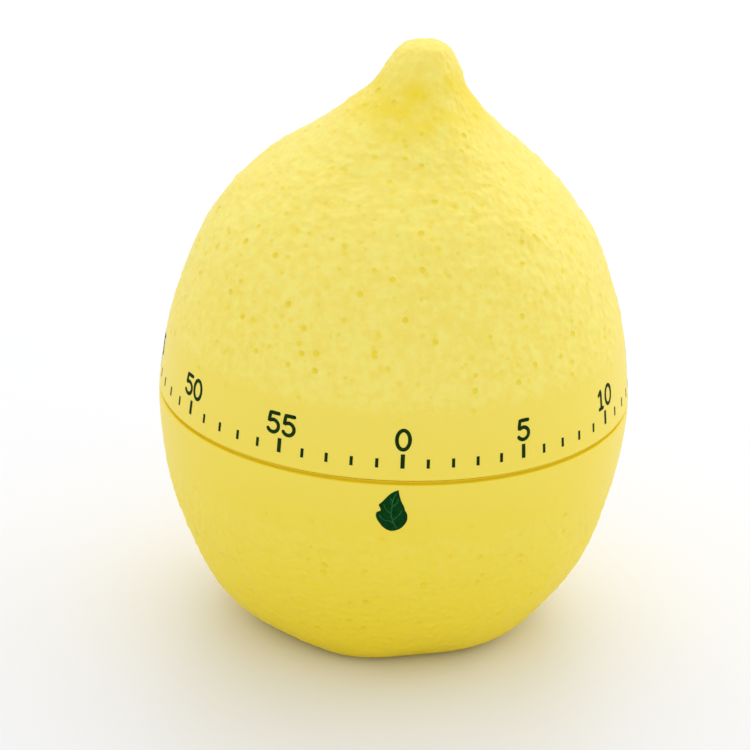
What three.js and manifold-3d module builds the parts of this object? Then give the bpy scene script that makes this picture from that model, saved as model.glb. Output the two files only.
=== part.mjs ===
// A clockwork kitchen timer shaped like a lemon. The upper half of the fruit is the dial: it is
// turned clockwise to wind the mainspring, and runs back to zero in up to sixty minutes. The lower
// half stands on the table and holds a two-plate movement with its train, escapement and bell.
// Units are millimetres and degrees. +Z is up, the origin is at the middle of the foot, and the
// zero mark faces -Y.
import * as THREE from "three";
import { mergeVertices } from "three/addons/utils/BufferGeometryUtils.js";
import Module from "manifold-3d";

const wasm = await Module();
wasm.setup();

// ---- Driving dimensions: the fruit ----
const bodyRadius = 32.5; // at the parting line, the widest place
const bodyHeight = 84.2; // from the table to the tip
const seamHeight = 33; // top edge of the lower half
const seamGap = 0.6; // open line between the halves
const footRadius = 17.5; // flat ring that stands on the table
const shellWall = 2;
// Heights where the lower shell's inner wall turns.
const innerHeights = [7, 11, 16, 22];
const lipHeight = 2.2; // the lower half's spigot, which centres the dial's rim
const lipWall = 1;
const lipClearance = 0.8;
const tipLean = 2.2; // how far the tip stands off the turning axis
const leanStart = 0.565; // share of the dome's height where it starts to lean
const tipWall = 3.2; // plastic left above the hollow, in the tip
const lobeHeight = 15; // the foot is lumpy up to here
const lobes = [
  { count: 7, depth: 0.45, turn: 20 },
  { count: 4, depth: 0.3, turn: 65 },
];

// The dome's outline, as shares of the body's radius and of the dome's height.
const domeOutline = [
  [1, 0], [0.969, 0.186], [0.911, 0.324], [0.822, 0.462], [0.686, 0.581], [0.554, 0.66],
  [0.437, 0.719], [0.329, 0.779], [0.212, 0.858], [0.157, 0.927], [0.095, 0.982], [0, 1],
];
// The lower half widens from the foot as (1 - (1 - t)^2)^lowerPower.
const lowerPower = 0.65;

// ---- Clearances ----
const seat = 0.05; // between faces that rest on each other
const slip = 0.2; // round a pin, shaft or screw in its hole
const running = 0.3; // between a moving piece and its neighbour

// ---- Driving dimensions: the base ----
const floorThickness = 1.8;
const footRing = 2.3; // width of the ring that stands on the table
const coverThickness = 1.8;
const coverInset = 0.3; // keeps the cover off the table
const coverLedge = 2.8; // the floor overlaps the cover by this much
const coverSlots = 6;
const coverSlot = { width: 1.6, from: 4.5, to: 9.5 };
const coverScrew = { head: 1.6, headHeight: 0.9, shank: 0.8, length: 3.7 };
const coverScrewAngles = [30, 150, 270];
const coverBossWall = 1.5;
const coverBossHeight = 3.2;

// ---- The room for the movement. Its sizes across, below, are those of the usual movement, ----
// ---- whose plates have a radius of plateStandard, and each is multiplied by fit.            ----
const plateStandard = 24.5;
const earBossRadius = 1.8;
const earScrew = { head: 1.8, headHeight: 1.1, shank: 0.9, length: 7 };
const plateMargin = 0.6; // from the ears to the lower half's mouth
const dialInner = bodyRadius - shellWall;
const lipOuter = dialInner - lipClearance;
const mouthRadius = lipOuter - lipWall;
const plateRadius = mouthRadius - plateMargin - earBossRadius - Math.max(earBossRadius, earScrew.head);
const fit = plateRadius / plateStandard;

// ---- Driving dimensions: the movement's frame ----
const plateThickness = 1;
const plateBottom = 14; // underside of the bottom plate
const layerGap = 1; // between two wheels, one above the other
const pillarRadius = 1.5 * fit;
const pillarAngles = [18, 112, 205, 292];
const pillarScrew = { head: 1.6 * fit, headHeight: 0.9, shank: 0.8 * fit, length: 3.4 };
const earAngles = [60, 180, 300];
const earWidth = 4.4;

// ---- Driving dimensions: the winding arbor and the mainspring ----
const arborRadius = 2.2 * fit;
const arborPivot = 1.3 * fit;
const arborNeck = 1.9 * fit; // through the top plate and up to the dial
const arborFlat = 1.3 * fit; // from the axis to the flat that drives the dial
const springHeight = 3.6;
const springStrip = 0.35;
const springTurns = 6;
const springPostRadius = 0.8;
const clutchRadius = 5.4 * fit;
const clutchThickness = 0.4;
const clutchCollarRadius = 3.6 * fit;
const camRadius = 6.4 * fit;
const camThickness = 0.8;
const camNotch = { depth: 1.3 * fit, halfAngle: 11, angle: -118 };

// ---- Driving dimensions: the train. Module is pitch diameter over teeth ----
const greatWheel = { teeth: 48, module: 0.5 * fit, thickness: 1 };
const secondPinion = { leaves: 6, length: 2.2 };
const secondWheel = { teeth: 48, module: 0.34 * fit, thickness: 0.8 };
const thirdPinion = { leaves: 6, length: 1.6 };
const thirdWheel = { teeth: 36, module: 0.38 * fit, thickness: 0.8 };
const escapePinion = { leaves: 6, length: 1.8 };
const escapeWheel = { teeth: 12, radius: 5 * fit, depth: 1.5 * fit, thickness: 0.8 };
const alarmWheel = { teeth: 12, radius: 3.5 * fit, depth: 0.9 * fit, thickness: 0.8 };
const passing = { third: 1.3 * fit, escape: 2.1 * fit, balance: 1.6 * fit, hammer: 2.6 * fit };
const trainArbor = 0.6 * fit;
const trainPivot = 0.4 * fit;
const wheelHole = 0.57; // share of a wheel's radius that its lightening holes sit at

// ---- Driving dimensions: balance, detent, hammer and bell ----
const balanceWheel = { rim: 1.2 * fit, thickness: 1, spoke: 1.2 * fit };
const palletSpan = 2.5; // teeth between the two pallet pins
const palletPin = 0.3 * fit;
const palletLift = 0.15; // pin to tooth tip when the balance is centred
const forkThickness = 0.8;
const detentReach = 14.8 * fit;
const detentAngle = -78;
const detentWidth = 1.2;
const detentNose = 0.9 * fit;
const detentLift = 0.25 * fit; // nose to cam rim while the timer runs
const hammerArmLength = 8 * fit;
const hammerArmThickness = 0.8;
const hammerHeadRadius = 1.6;
const hammerHeadHeight = 2;
const fingerBite = 0.28 * fit; // how far the finger reaches in among the alarm wheel's teeth
const hammerSwing = 8; // degrees from rest to the alarm wheel
const strikeGap = 0.8 * fit;
const bellRadius = 17.5 * fit;
const bellWall = 0.7;
const bellDrop = 1.8; // from the bottom plate to the bell's rim
const bellFloorGap = 1.2; // from the cover's screw bosses to the bell
const bellPostRadius = 2.2;
const bellScrew = { head: 2, headHeight: 1.2, shank: 0.9 };
const bellScrewGrip = 0.55; // share of the post that the screw reaches into

// ---- Driving dimensions: the dial's carrier ----
const carrierHeight = 7; // underside, above the parting line
const carrierThickness = 2;
const carrierDisc = 12 * fit;
const carrierArm = 7;
const carrierAngles = [30, 150, 270];
const carrierBoss = 2.6;
const carrierMargin = 3.3; // from the screw bosses to the inside of the dome's rim
const hubWall = 2.6;
const hubBelow = 5;
const hubAbove = 3;
const carrierScrew = { head: 1.9, headHeight: 1.1, shank: 0.9, length: 8 };

// ---- Sizes and heights worked out from the dimensions above ----
const rimHeight = seamHeight + seamGap;
const domeHeight = bodyHeight - rimHeight;
const coverRadius = footRadius - footRing;
const coverTop = coverInset + coverThickness;
const coverScrewPitch = coverRadius - coverScrew.head - slip;
const floorBottom = coverTop + seat * 2;
const floorTop = floorBottom + floorThickness;
const coverBossTop = floorBottom + coverBossHeight;
const pillarPitch = plateRadius - pillarRadius - running;
const earPitch = plateRadius + earBossRadius + running;
const plateTop = plateBottom + plateThickness;
const springBottom = plateTop + layerGap;
const greatBottom = springBottom + springHeight + running;
const clutchBottom = greatBottom + greatWheel.thickness + seat;
const thirdBottom = greatBottom + greatWheel.thickness + layerGap;
const camBottom = thirdBottom + thirdWheel.thickness + layerGap;
const balanceBottom = camBottom + camThickness + running;
const topPlate = balanceBottom + balanceWheel.thickness + layerGap;
const secondBottom = topPlate - secondWheel.thickness - 2 * running;
const topFace = topPlate + plateThickness;
const escapeBottom = plateTop + layerGap * 2;
const forkBottom = escapeBottom + escapeWheel.thickness + running;
const bellRim = plateBottom - bellDrop;
const bellBottom = coverBossTop + bellFloorGap;
const bellDepth = bellRim - bellBottom;
const hammerArmBottom = bellRim + running;
const carrierBottom = seamHeight + carrierHeight;
const carrierTop = carrierBottom + carrierThickness;
const carrierPitch = dialInner - carrierMargin - carrierBoss;
const hubBottom = carrierBottom - hubBelow;
const arborTop = carrierTop + hubAbove - layerGap;

// ---- Angles and places of the axes ----
const toRadians = THREE.MathUtils.degToRad;
const toDegrees = THREE.MathUtils.radToDeg;

function polar(radius, degrees) {
  return new THREE.Vector2(radius * Math.cos(toRadians(degrees)), radius * Math.sin(toRadians(degrees)));
}

// The angle at the middle between two axes at reaches a and b that stand a distance apart.
function angleBetween(a, b, distance) {
  return toDegrees(Math.acos((a * a + b * b - distance * distance) / (2 * a * b)));
}

function directionOf(from, to) {
  return toDegrees(Math.atan2(to.y - from.y, to.x - from.x));
}

function meshDistance(wheel, pinion) {
  return (wheel.module * (wheel.teeth + pinion.leaves)) / 2;
}

const palletHalfSpan = (palletSpan * 180) / escapeWheel.teeth;
const balanceDistance = escapeWheel.radius / Math.cos(toRadians(palletHalfSpan));
const balanceRadius = balanceDistance - trainArbor - running;
const secondReach = meshDistance(greatWheel, secondPinion);
// Arbors that pass the great wheel's teeth stand clear of them, each by its own distance.
const greatEdge = (greatWheel.module * greatWheel.teeth) / 2 + greatWheel.module + trainArbor;
const [thirdReach, escapeReach, balanceReach, hammerReach] =
  [passing.third, passing.escape, passing.balance, passing.hammer].map((clear) => greatEdge + clear);
const thirdAngle = angleBetween(secondReach, thirdReach, meshDistance(secondWheel, thirdPinion));
const escapeDistance = meshDistance(thirdWheel, escapePinion);
const escapeAngle = thirdAngle + angleBetween(thirdReach, escapeReach, escapeDistance);
const balanceAngle = escapeAngle + angleBetween(escapeReach, balanceReach, balanceDistance);
const secondEdge = (secondWheel.module * secondWheel.teeth) / 2 + secondWheel.module;
const hammerDistance = secondEdge + trainArbor + running * 2;
const hammerAngle = -angleBetween(secondReach, hammerReach, hammerDistance);
const springRadius = Math.min(secondReach - alarmWheel.radius, escapeReach - escapeWheel.radius)
  - springStrip - running;

const middle = new THREE.Vector2(0, 0);
const secondAxis = polar(secondReach, 0);
const thirdAxis = polar(thirdReach, thirdAngle);
const escapeAxis = polar(escapeReach, escapeAngle);
const balanceAxis = polar(balanceReach, balanceAngle);
const hammerAxis = polar(hammerReach, hammerAngle);
const detentAxis = polar(detentReach, detentAngle);
const springPost = polar(springRadius + springStrip + springPostRadius + running, 180);

// ---- Materials ----
function material(color, roughness, metalness) {
  return new THREE.MeshStandardMaterial({ color, roughness, metalness });
}
const lemonPlastic = material(0xf3df45, 0.45, 0);
const whitePlastic = material(0xe9e6da, 0.5, 0);
const plateSteel = material(0xb9bcc0, 0.35, 1);
const turnedSteel = material(0xc8cacd, 0.25, 1);
const springSteel = material(0x5a6270, 0.35, 1);
const brass = material(0xc9a14a, 0.35, 1);
const bellMetal = material(0xd5d6d8, 0.15, 1);
const zincPlate = material(0xcfd0c8, 0.3, 1);

// ---- Solids ----
// A closed geometry as a manifold-3d solid, with its shared vertices merged.
function solidOf(geometry) {
  const bare = geometry.index ? geometry.toNonIndexed() : geometry.clone();
  const only = new THREE.BufferGeometry().setAttribute("position", bare.getAttribute("position"));
  const merged = mergeVertices(only, 1e-4);
  const corners = merged.index.array;
  const kept = [];
  for (let i = 0; i < corners.length; i += 3) {
    const [a, b, c] = [corners[i], corners[i + 1], corners[i + 2]];
    if (a !== b && b !== c && a !== c) kept.push(a, b, c);
  }
  const vertProperties = merged.attributes.position.array;
  return new wasm.Manifold(new wasm.Mesh({ numProp: 3, vertProperties, triVerts: new Uint32Array(kept) }));
}

function geometryOf(solid) {
  const mesh = solid.getMesh();
  const places = new Float32Array(mesh.numVert * 3);
  for (let i = 0; i < mesh.numVert; i++) {
    places.set(mesh.vertProperties.subarray(i * mesh.numProp, i * mesh.numProp + 3), i * 3);
  }
  return new THREE.BufferGeometry()
    .setAttribute("position", new THREE.BufferAttribute(places, 3))
    .setIndex(new THREE.BufferAttribute(mesh.triVerts, 1));
}

function join(first, ...others) {
  return geometryOf(others.reduce((solid, other) => solid.add(solidOf(other)), solidOf(first)));
}

function cut(first, ...tools) {
  return geometryOf(tools.reduce((solid, tool) => solid.subtract(solidOf(tool)), solidOf(first)));
}

function trim(first, other) {
  return geometryOf(solidOf(first).intersect(solidOf(other)));
}

// ---- Shapes ----
function ring(radius, centre = middle, sides = 12) {
  return Array.from({ length: sides }, (_, i) => polar(radius, (360 * i) / sides).add(centre));
}

// An outline pushed up from bottom by height, with outlines in holes left open.
function extrude(outline, bottom, height, holes = []) {
  const shape = new THREE.Shape(outline);
  shape.holes = holes.map((hole) => new THREE.Path(hole));
  const geometry = new THREE.ExtrudeGeometry(shape, { depth: height, bevelEnabled: false });
  return geometry.translate(0, 0, bottom);
}

function rod(radius, bottom, height, centre = middle, sides = 12) {
  return extrude(ring(radius, centre, sides), bottom, height);
}

// A profile of [radius, height] pairs turned about the Z axis.
function turn(profile, sides = 16) {
  const points = profile.map(([radius, height]) => new THREE.Vector2(radius, height));
  if (THREE.ShapeUtils.area(points) < 0) points.reverse();
  if (points[0].x > 0) points.push(points[0].clone());
  return new THREE.LatheGeometry(points, sides).rotateX(Math.PI / 2).rotateZ(-Math.PI / 2);
}

// A flat bar with round ends.
function bar(from, to, width, bottom, height) {
  const heading = directionOf(from, to);
  const end = (centre, start) =>
    Array.from({ length: 5 }, (_, i) => polar(width / 2, heading + start + i * 45).add(centre));
  return extrude([...end(to, -90), ...end(from, 90)], bottom, height);
}

// A slotted screw with its head's underside at z = 0 and its shank below.
function screwShape({ head, headHeight, shank }, length) {
  const profile = [[0, -length], [shank, -length], [shank, 0], [head, 0], [head, headHeight * 0.7],
    [head * 0.8, headHeight], [0, headHeight]];
  const slotWidth = head / 4;
  const slotDepth = headHeight * 0.45;
  const slot = new THREE.BoxGeometry(head * 2.2, slotWidth, slotDepth * 2).translate(0, 0, headHeight);
  return cut(turn(profile, 10), slot);
}

// A clock wheel's outline: straight teeth that narrow from root to tip.
function wheelOutline({ teeth, module }) {
  const pitch = (teeth * module) / 2;
  const half = 360 / teeth / 4;
  return Array.from({ length: teeth }, (_, i) => {
    const angle = (360 * i) / teeth;
    return [
      polar(pitch - module, angle - half), polar(pitch + module * 0.8, angle - half * 0.35),
      polar(pitch + module * 0.8, angle + half * 0.35), polar(pitch - module, angle + half),
    ];
  }).flat();
}

// A pinion's leaves: radial flanks and blunt tips, thinner than the gaps in the wheel.
function pinionOutline({ leaves }, module) {
  const pitch = (leaves * module) / 2;
  const half = 360 / leaves / 7;
  return Array.from({ length: leaves }, (_, i) => {
    const angle = (360 * i) / leaves;
    return [
      polar(pitch - module * 1.45, angle - half), polar(pitch, angle - half),
      polar(pitch + module * 0.55, angle - half * 0.45), polar(pitch + module * 0.55, angle + half * 0.45),
      polar(pitch, angle + half), polar(pitch - module * 1.45, angle + half),
    ];
  }).flat();
}

// A wheel with thin pointed teeth that lean forwards by a share of the tooth's pitch.
function pointedOutline({ teeth, radius, depth }, lean) {
  const pitch = 360 / teeth;
  return Array.from({ length: teeth }, (_, i) => {
    const angle = pitch * i;
    return [polar(radius - depth, angle - pitch * 0.22), polar(radius, angle + pitch * lean),
      polar(radius - depth, angle + pitch * 0.16)];
  }).flat();
}

function lighteningHoles(radius, count, holeRadius) {
  const step = 360 / count;
  return Array.from({ length: count }, (_, i) => ring(holeRadius, polar(radius, step * (i + 0.5)), 10));
}

// ---- The tree of the object ----
const timer = new THREE.Group();

function add(name, geometry, finish, parent = timer) {
  const mesh = new THREE.Mesh(geometry, finish);
  mesh.name = name;
  parent.add(mesh);
  return mesh;
}

function groupAt(axis, turnedBy = 0, parent = timer) {
  const group = new THREE.Group();
  group.position.set(axis.x, axis.y, 0);
  group.rotation.z = toRadians(turnedBy);
  parent.add(group);
  return group;
}

// A row of identical screws on a circle, heads up or heads down, one named node each.
function addScrews(name, screw, pitch, angles, headFace, headsUp, finish) {
  angles.forEach((angle, i) => {
    const at = polar(pitch, angle);
    const mesh = add(`${name}_${i + 1}`, screwShape(screw, screw.length), finish);
    mesh.position.set(at.x, at.y, headFace);
    mesh.rotation.set(headsUp ? 0 : Math.PI, 0, toRadians(angle));
  });
}

// ---- The fruit's two halves ----
const shellSides = 32;

function lowerRadius(height) {
  const t = THREE.MathUtils.clamp(height / seamHeight, 0, 1);
  return footRadius + (bodyRadius - footRadius) * (1 - (1 - t) ** 2) ** lowerPower;
}

const domeCurve = new THREE.SplineCurve(
  domeOutline.map(([r, h]) => new THREE.Vector2(r * bodyRadius, rimHeight + h * domeHeight)),
);

// Moves the tip off the axis: each point slides along X by its height.
function leanTip(geometry) {
  const places = geometry.getAttribute("position");
  const start = rimHeight + domeHeight * leanStart;
  for (let i = 0; i < places.count; i++) {
    places.setX(i, places.getX(i) + tipLean * THREE.MathUtils.smoothstep(places.getZ(i), start, bodyHeight));
  }
  return geometry;
}

// Gives the foot its lumps: a sum of cosines that fades out by lobeHeight.
function lumpFoot(geometry) {
  const places = geometry.getAttribute("position");
  for (let i = 0; i < places.count; i++) {
    const [x, y, z] = [places.getX(i), places.getY(i), places.getZ(i)];
    const radius = Math.hypot(x, y);
    if (radius > footRadius / 2 && z < lobeHeight) {
      const angle = Math.atan2(y, x);
      const fade = (1 - z / lobeHeight) ** 2;
      const bump = lobes.reduce((sum, l) => sum + l.depth * Math.cos(l.count * angle + toRadians(l.turn)), 0);
      const grown = (radius + bump * fade) / radius;
      places.setXY(i, x * grown, y * grown);
    }
  }
  return geometry;
}

// The dome's solid, drawn in from its outside by inset, which grows towards the tip.
function domeSolid(inset, count) {
  const bottom = inset ? rimHeight - 1 : rimHeight;
  const top = bodyHeight - (tipWall * inset) / shellWall;
  const side = domeCurve.getPoints(count).slice(1, -1)
    .filter((p) => p.y < top - tipWall / 10)
    .map((p) => [p.x - inset * (1 + (0.6 * (p.y - rimHeight)) / domeHeight), p.y]);
  const last = side[side.length - 1];
  return leanTip(turn([[0, bottom], [bodyRadius - inset, bottom], ...side, [last[0] * 0.6, top], [0, top]],
    shellSides));
}

function upperShell() {
  const bossBottom = carrierTop + seat;
  const bossHeight = bodyHeight - bossBottom;
  const core = domeSolid(shellWall / 2, 8);
  const bosses = carrierAngles.map((angle) => {
    const centre = polar(carrierPitch, angle);
    const column = rod(carrierBoss, bossBottom, bossHeight, centre, 10);
    const rib = bar(centre, polar(bodyRadius, angle), shellWall * 0.7, bossBottom, bossHeight);
    return trim(join(column, rib), core);
  });
  const pilots = carrierAngles.map((angle) =>
    rod(carrierScrew.shank + slip, bossBottom - 1, carrierScrew.length, polar(carrierPitch, angle), 8));
  return cut(join(cut(domeSolid(0, 17), domeSolid(shellWall, 9)), ...bosses), ...pilots);
}

function lowerShell() {
  const steps = 8;
  const heights = Array.from({ length: steps + 1 }, (_, i) => seamHeight * (i / steps) ** 1.5);
  const wallLine = heights.map((h) => [lowerRadius(h), h]);
  const outer = lumpFoot(turn([[0, 0], ...wallLine, [0, seamHeight]], shellSides));
  const lipFoot = seamHeight - shellWall;
  const lipTop = seamHeight + lipHeight;
  const lip = turn([[mouthRadius, lipFoot], [lipOuter, lipFoot], [lipOuter, lipTop], [mouthRadius, lipTop]],
    shellSides);
  const innerRadius = (h) => Math.min(mouthRadius, lowerRadius(h) - shellWall * 1.15);
  const inner = [floorTop, ...innerHeights].map((h) => [innerRadius(h), h]);
  const above = lipTop + 1;
  const hollow = turn([[0, floorTop], ...inner, [mouthRadius, topPlate - layerGap], [mouthRadius, above],
    [0, above]], shellSides);
  const opening = rod(coverRadius - coverLedge, -1, floorTop + 2, middle, 32);
  const recess = rod(coverRadius + running, -1, floorBottom + 1, middle, 32);
  const foot = plateBottom - 2;
  const core = turn([[0, foot - 1], ...[foot - 1, plateBottom + 6, topPlate].map((h) =>
    [lowerRadius(h) - shellWall / 2, h]), [0, topPlate]], shellSides);
  const earBosses = earAngles.map((angle) => {
    const centre = polar(earPitch, angle);
    const height = topPlate - seat - foot;
    const web = bar(centre, polar(bodyRadius, angle), earBossRadius * 1.4, foot, height);
    return trim(join(rod(earBossRadius, foot, height, centre, 10), web), core);
  });
  const coverBosses = coverScrewAngles.map((angle) =>
    rod(coverScrew.shank + coverBossWall, floorBottom, coverBossHeight, polar(coverScrewPitch, angle), 10));
  const pilotFoot = topPlate - earScrew.length - 0.5;
  const earPilots = earAngles.map((angle) =>
    rod(earScrew.shank + slip, pilotFoot, earScrew.length + 1, polar(earPitch, angle), 8));
  const coverPilots = coverScrewAngles.map((angle) =>
    rod(coverScrew.shank + slip, 0, coverBossTop + 1, polar(coverScrewPitch, angle), 8));
  const cup = cut(join(cut(outer, hollow), lip), opening, recess);
  return cut(join(cup, ...earBosses, ...coverBosses), ...earPilots, ...coverPilots);
}

// ---- The base cover, with slots that let the bell be heard ----
function baseCover() {
  const slots = Array.from({ length: coverSlots }, (_, i) => {
    const angle = (360 * i) / coverSlots;
    const [from, to] = [coverSlot.from, coverSlot.to].map((radius) => polar(radius, angle));
    return bar(from, to, coverSlot.width, 0, coverThickness + 1);
  });
  const wells = coverScrewAngles.flatMap((angle) => {
    const centre = polar(coverScrewPitch, angle);
    return [
      rod(coverScrew.head + slip / 2, 0, coverInset + coverScrew.headHeight + slip / 2, centre, 12),
      rod(coverScrew.shank + slip, 0, coverThickness + 1, centre, 10),
    ];
  });
  return cut(rod(coverRadius, coverInset, coverThickness, middle, 32), ...slots, ...wells);
}

// ---- The movement's frame ----
const pivots = [secondAxis, thirdAxis, escapeAxis, balanceAxis];

function bottomPlate() {
  const holes = [
    ring(arborPivot + slip, middle, 16),
    ...pivots.map((axis) => ring(trainPivot + slip * 0.75, axis, 10)),
    ring(trainArbor + slip, hammerAxis, 10),
    ...pillarAngles.map((angle) => ring(pillarRadius * 0.65 + slip, polar(pillarPitch, angle), 10)),
    ring(springPostRadius * 0.7 + slip, springPost, 10),
  ];
  return extrude(ring(plateRadius, middle, 40), plateBottom, plateThickness, holes);
}

function topPlateShape() {
  const disc = rod(plateRadius, topPlate, plateThickness, middle, 40);
  const ears = earAngles.map((angle) =>
    bar(polar(plateRadius * 0.7, angle), polar(earPitch - 0.5, angle), earWidth, topPlate, plateThickness));
  const hole = (radius, centre, sides = 8) => rod(radius, topPlate - 1, plateThickness + 2, centre, sides);
  return cut(
    join(disc, ...ears),
    hole(arborNeck + slip, middle, 16),
    ...pivots.map((axis) => hole(trainPivot + slip * 0.75, axis)),
    hole(trainPivot + slip * 0.75, hammerAxis),
    hole(trainArbor * 0.7 + slip, detentAxis),
    ...pillarAngles.map((angle) => hole(pillarScrew.shank + slip, polar(pillarPitch, angle))),
    ...earAngles.map((angle) => hole(earScrew.shank + slip * 1.5, polar(earPitch, angle))),
  );
}

// A pillar between the plates, with a riveted stub below and a tapped hole above.
function pillar() {
  const stub = pillarRadius * 0.65;
  const tapped = pillarScrew.shank + slip * 0.75;
  const holeFloor = topPlate - seat - pillarScrew.length + plateThickness - 0.4;
  const [foot, shoulder, head] = [plateBottom - 0.3, plateTop + seat, topPlate - seat];
  return turn([[0, foot], [stub, foot], [stub, shoulder], [pillarRadius, shoulder], [pillarRadius, head],
    [tapped, head], [tapped, holeFloor], [0, holeFloor]], 12);
}

// ---- The winding arbor and what it carries ----
function mainArbor() {
  const shaft = turn([[0, plateBottom - 0.5], [arborPivot, plateBottom - 0.5], [arborPivot, plateTop + 0.3],
    [arborRadius, plateTop + 0.3], [arborRadius, topPlate - 0.3], [arborNeck, topPlate - 0.3],
    [arborNeck, arborTop - 0.4], [arborNeck - 0.4, arborTop], [0, arborTop]], 16);
  const flatFoot = hubBottom - running;
  const flat = new THREE.BoxGeometry(2, 6, arborTop).translate(arborFlat + 1, 0, flatFoot + arborTop / 2);
  return cut(shaft, flat);
}

// The mainspring: a strip wound from the arbor out to the spring post.
function mainspring() {
  const steps = springTurns * 15;
  const start = arborRadius + running;
  const side = (offset) =>
    Array.from({ length: steps + 1 }, (_, i) => {
      const share = i / steps;
      return polar(start + (springRadius - start) * share + offset, 180 + 360 * springTurns * share);
    });
  return extrude([...side(springStrip), ...side(0).reverse()], springBottom, springHeight);
}

function clutchWasher() {
  const arms = [0, 120, 240].map((angle) =>
    bar(polar(arborRadius + 1, angle), polar(clutchRadius - 0.8, angle), 1.6, clutchBottom,
      clutchThickness));
  const disc = rod(arborRadius + 1.2, clutchBottom, clutchThickness, middle, 16);
  return cut(join(disc, ...arms), rod(arborRadius + slip, clutchBottom - 1, 3, middle, 16));
}

function zeroCam() {
  const outline = [];
  for (let angle = 0; angle < 360; angle += 10) {
    const off = Math.abs(angle - 180);
    if (off > camNotch.halfAngle) outline.push(polar(camRadius, camNotch.angle + 180 + angle));
    if (angle === 170 || angle === 190) {
      const edge = camNotch.angle + 180 + 180 + Math.sign(angle - 180) * camNotch.halfAngle;
      const corner = [polar(camRadius, edge), polar(camRadius - camNotch.depth, edge)];
      outline.push(...(angle < 180 ? corner : corner.reverse()));
    }
  }
  return extrude(outline, camBottom, camThickness, [ring(arborRadius + slip, middle, 16)]);
}

// ---- The train: each arbor holds its pinion, and its wheel is a piece of its own ----
function pinionArbor(pinion, module, pinionBottom) {
  const bottom = plateBottom + 0.1;
  const top = topFace - 0.1;
  const [lowShoulder, highShoulder] = [plateTop + 0.3, topPlate - 0.3];
  const shaft = turn([[0, bottom], [trainPivot, bottom], [trainPivot, lowShoulder], [trainArbor, lowShoulder],
    [trainArbor, highShoulder], [trainPivot, highShoulder], [trainPivot, top], [0, top]], 8);
  return pinion ? join(shaft, extrude(pinionOutline(pinion, module), pinionBottom, pinion.length)) : shaft;
}

function trainWheel(wheel, bottom, holes, bore) {
  const radius = (wheel.teeth * wheel.module) / 2;
  const openings = lighteningHoles(radius * wheelHole, holes, radius * 0.2);
  return extrude(wheelOutline(wheel), bottom, wheel.thickness, [ring(bore, middle, 12), ...openings]);
}

// Turns a pinion so that one of its gaps faces the wheel that drives it.
function gapTowards(pinion, from, to) {
  return directionOf(from, to) + 180 / pinion.leaves;
}

// ---- The balance and its pallets ----
function balanceShape() {
  const { rim, thickness, spoke } = balanceWheel;
  const radius = balanceRadius;
  const hoop = extrude(ring(radius, middle, 24), balanceBottom, thickness, [ring(radius - rim, middle, 24)]);
  const arm = bar(new THREE.Vector2(-radius + rim / 2, 0), new THREE.Vector2(radius - rim / 2, 0), spoke,
    balanceBottom, thickness);
  const hub = rod(trainArbor + 0.9, balanceBottom, thickness, middle, 12);
  return cut(join(hoop, arm, hub), rod(trainArbor + seat, balanceBottom - 1, thickness + 2, middle, 10));
}

// A fork over the escape wheel, with two pins that drop between its teeth by turns.
function palletFork() {
  const towardsWheel = directionOf(balanceAxis, escapeAxis);
  const fork = rod(trainArbor + 0.9, forkBottom, forkThickness, middle, 12);
  const arms = [-1, 1].map((side) => {
    const contactAngle = towardsWheel + 180 + side * palletHalfSpan;
    const contact = polar(escapeWheel.radius + palletLift + palletPin, contactAngle);
    const place = contact.add(escapeAxis).sub(balanceAxis);
    const pin = rod(palletPin, escapeBottom - 0.3, forkBottom - escapeBottom + 0.6, place, 8);
    return join(bar(middle, place, 1, forkBottom, forkThickness), pin);
  });
  return cut(join(fork, ...arms), rod(trainArbor + seat, forkBottom - 1, forkThickness + 2, middle, 10));
}

// ---- The detent: a lever whose nose falls into the cam's notch at zero ----
function detentLever() {
  const noseOut = camRadius + detentLift + detentNose / 2;
  const elbow = polar(noseOut + 1.9, camNotch.angle);
  const nose = polar(noseOut, camNotch.angle);
  const tail = polar(hammerDistance * 0.2, directionOf(hammerAxis, detentAxis)).add(hammerAxis);
  const tailEnd = tail.clone().lerp(detentAxis, 0.24);
  return cut(
    join(
      rod(trainArbor + 1, camBottom, camThickness, detentAxis, 12),
      bar(detentAxis, elbow, detentWidth, camBottom, camThickness),
      bar(elbow, nose, detentNose, camBottom, camThickness),
      bar(detentAxis, tailEnd, detentWidth, camBottom, camThickness),
    ),
    rod(trainArbor + slip, camBottom - 1, camThickness + 2, detentAxis, 10),
  );
}

function detentStud() {
  const foot = camBottom - 0.9;
  const [collar, ledge, rivet] = [trainArbor + 0.5, camBottom - 0.3, trainArbor * 0.7];
  return turn([[0, foot], [collar, foot], [collar, ledge], [trainArbor, ledge], [trainArbor, topPlate - seat],
    [rivet, topPlate - seat], [rivet, topFace + 0.2], [0, topFace + 0.2]], 12);
}

// A strip from beside a pillar to the back of the lever's elbow.
function detentSpring() {
  const lean = polar(camRadius + detentLift + detentNose + 2.8, camNotch.angle + 4);
  const bend = polar(detentReach + 3.4, detentAngle - 14);
  const end = polar(pillarPitch - pillarRadius - 0.4, pillarAngles[3]);
  return join(bar(end, bend, 0.35, camBottom, camThickness), bar(bend, lean, 0.35, camBottom, camThickness));
}

// ---- The hammer and the bell ----
function bellInnerAt(height) {
  const share = (height - bellBottom) / bellDepth;
  return bellRadius * (0.9 + 0.1 * share) - bellWall;
}

const headBottom = bellRim - hammerHeadHeight + 0.2;
const headReach = bellInnerAt(headBottom) - strikeGap - hammerHeadRadius;
const headAngle = hammerAngle - angleBetween(hammerReach, headReach, hammerArmLength);
const headAxis = polar(headReach, headAngle);

function hammerArbor() {
  return turn([[0, hammerArmBottom - 0.2], [trainArbor, hammerArmBottom - 0.2], [trainArbor, topPlate - 0.3],
    [trainPivot, topPlate - 0.3], [trainPivot, topFace - 0.1], [0, topFace - 0.1]], 8);
}

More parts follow.
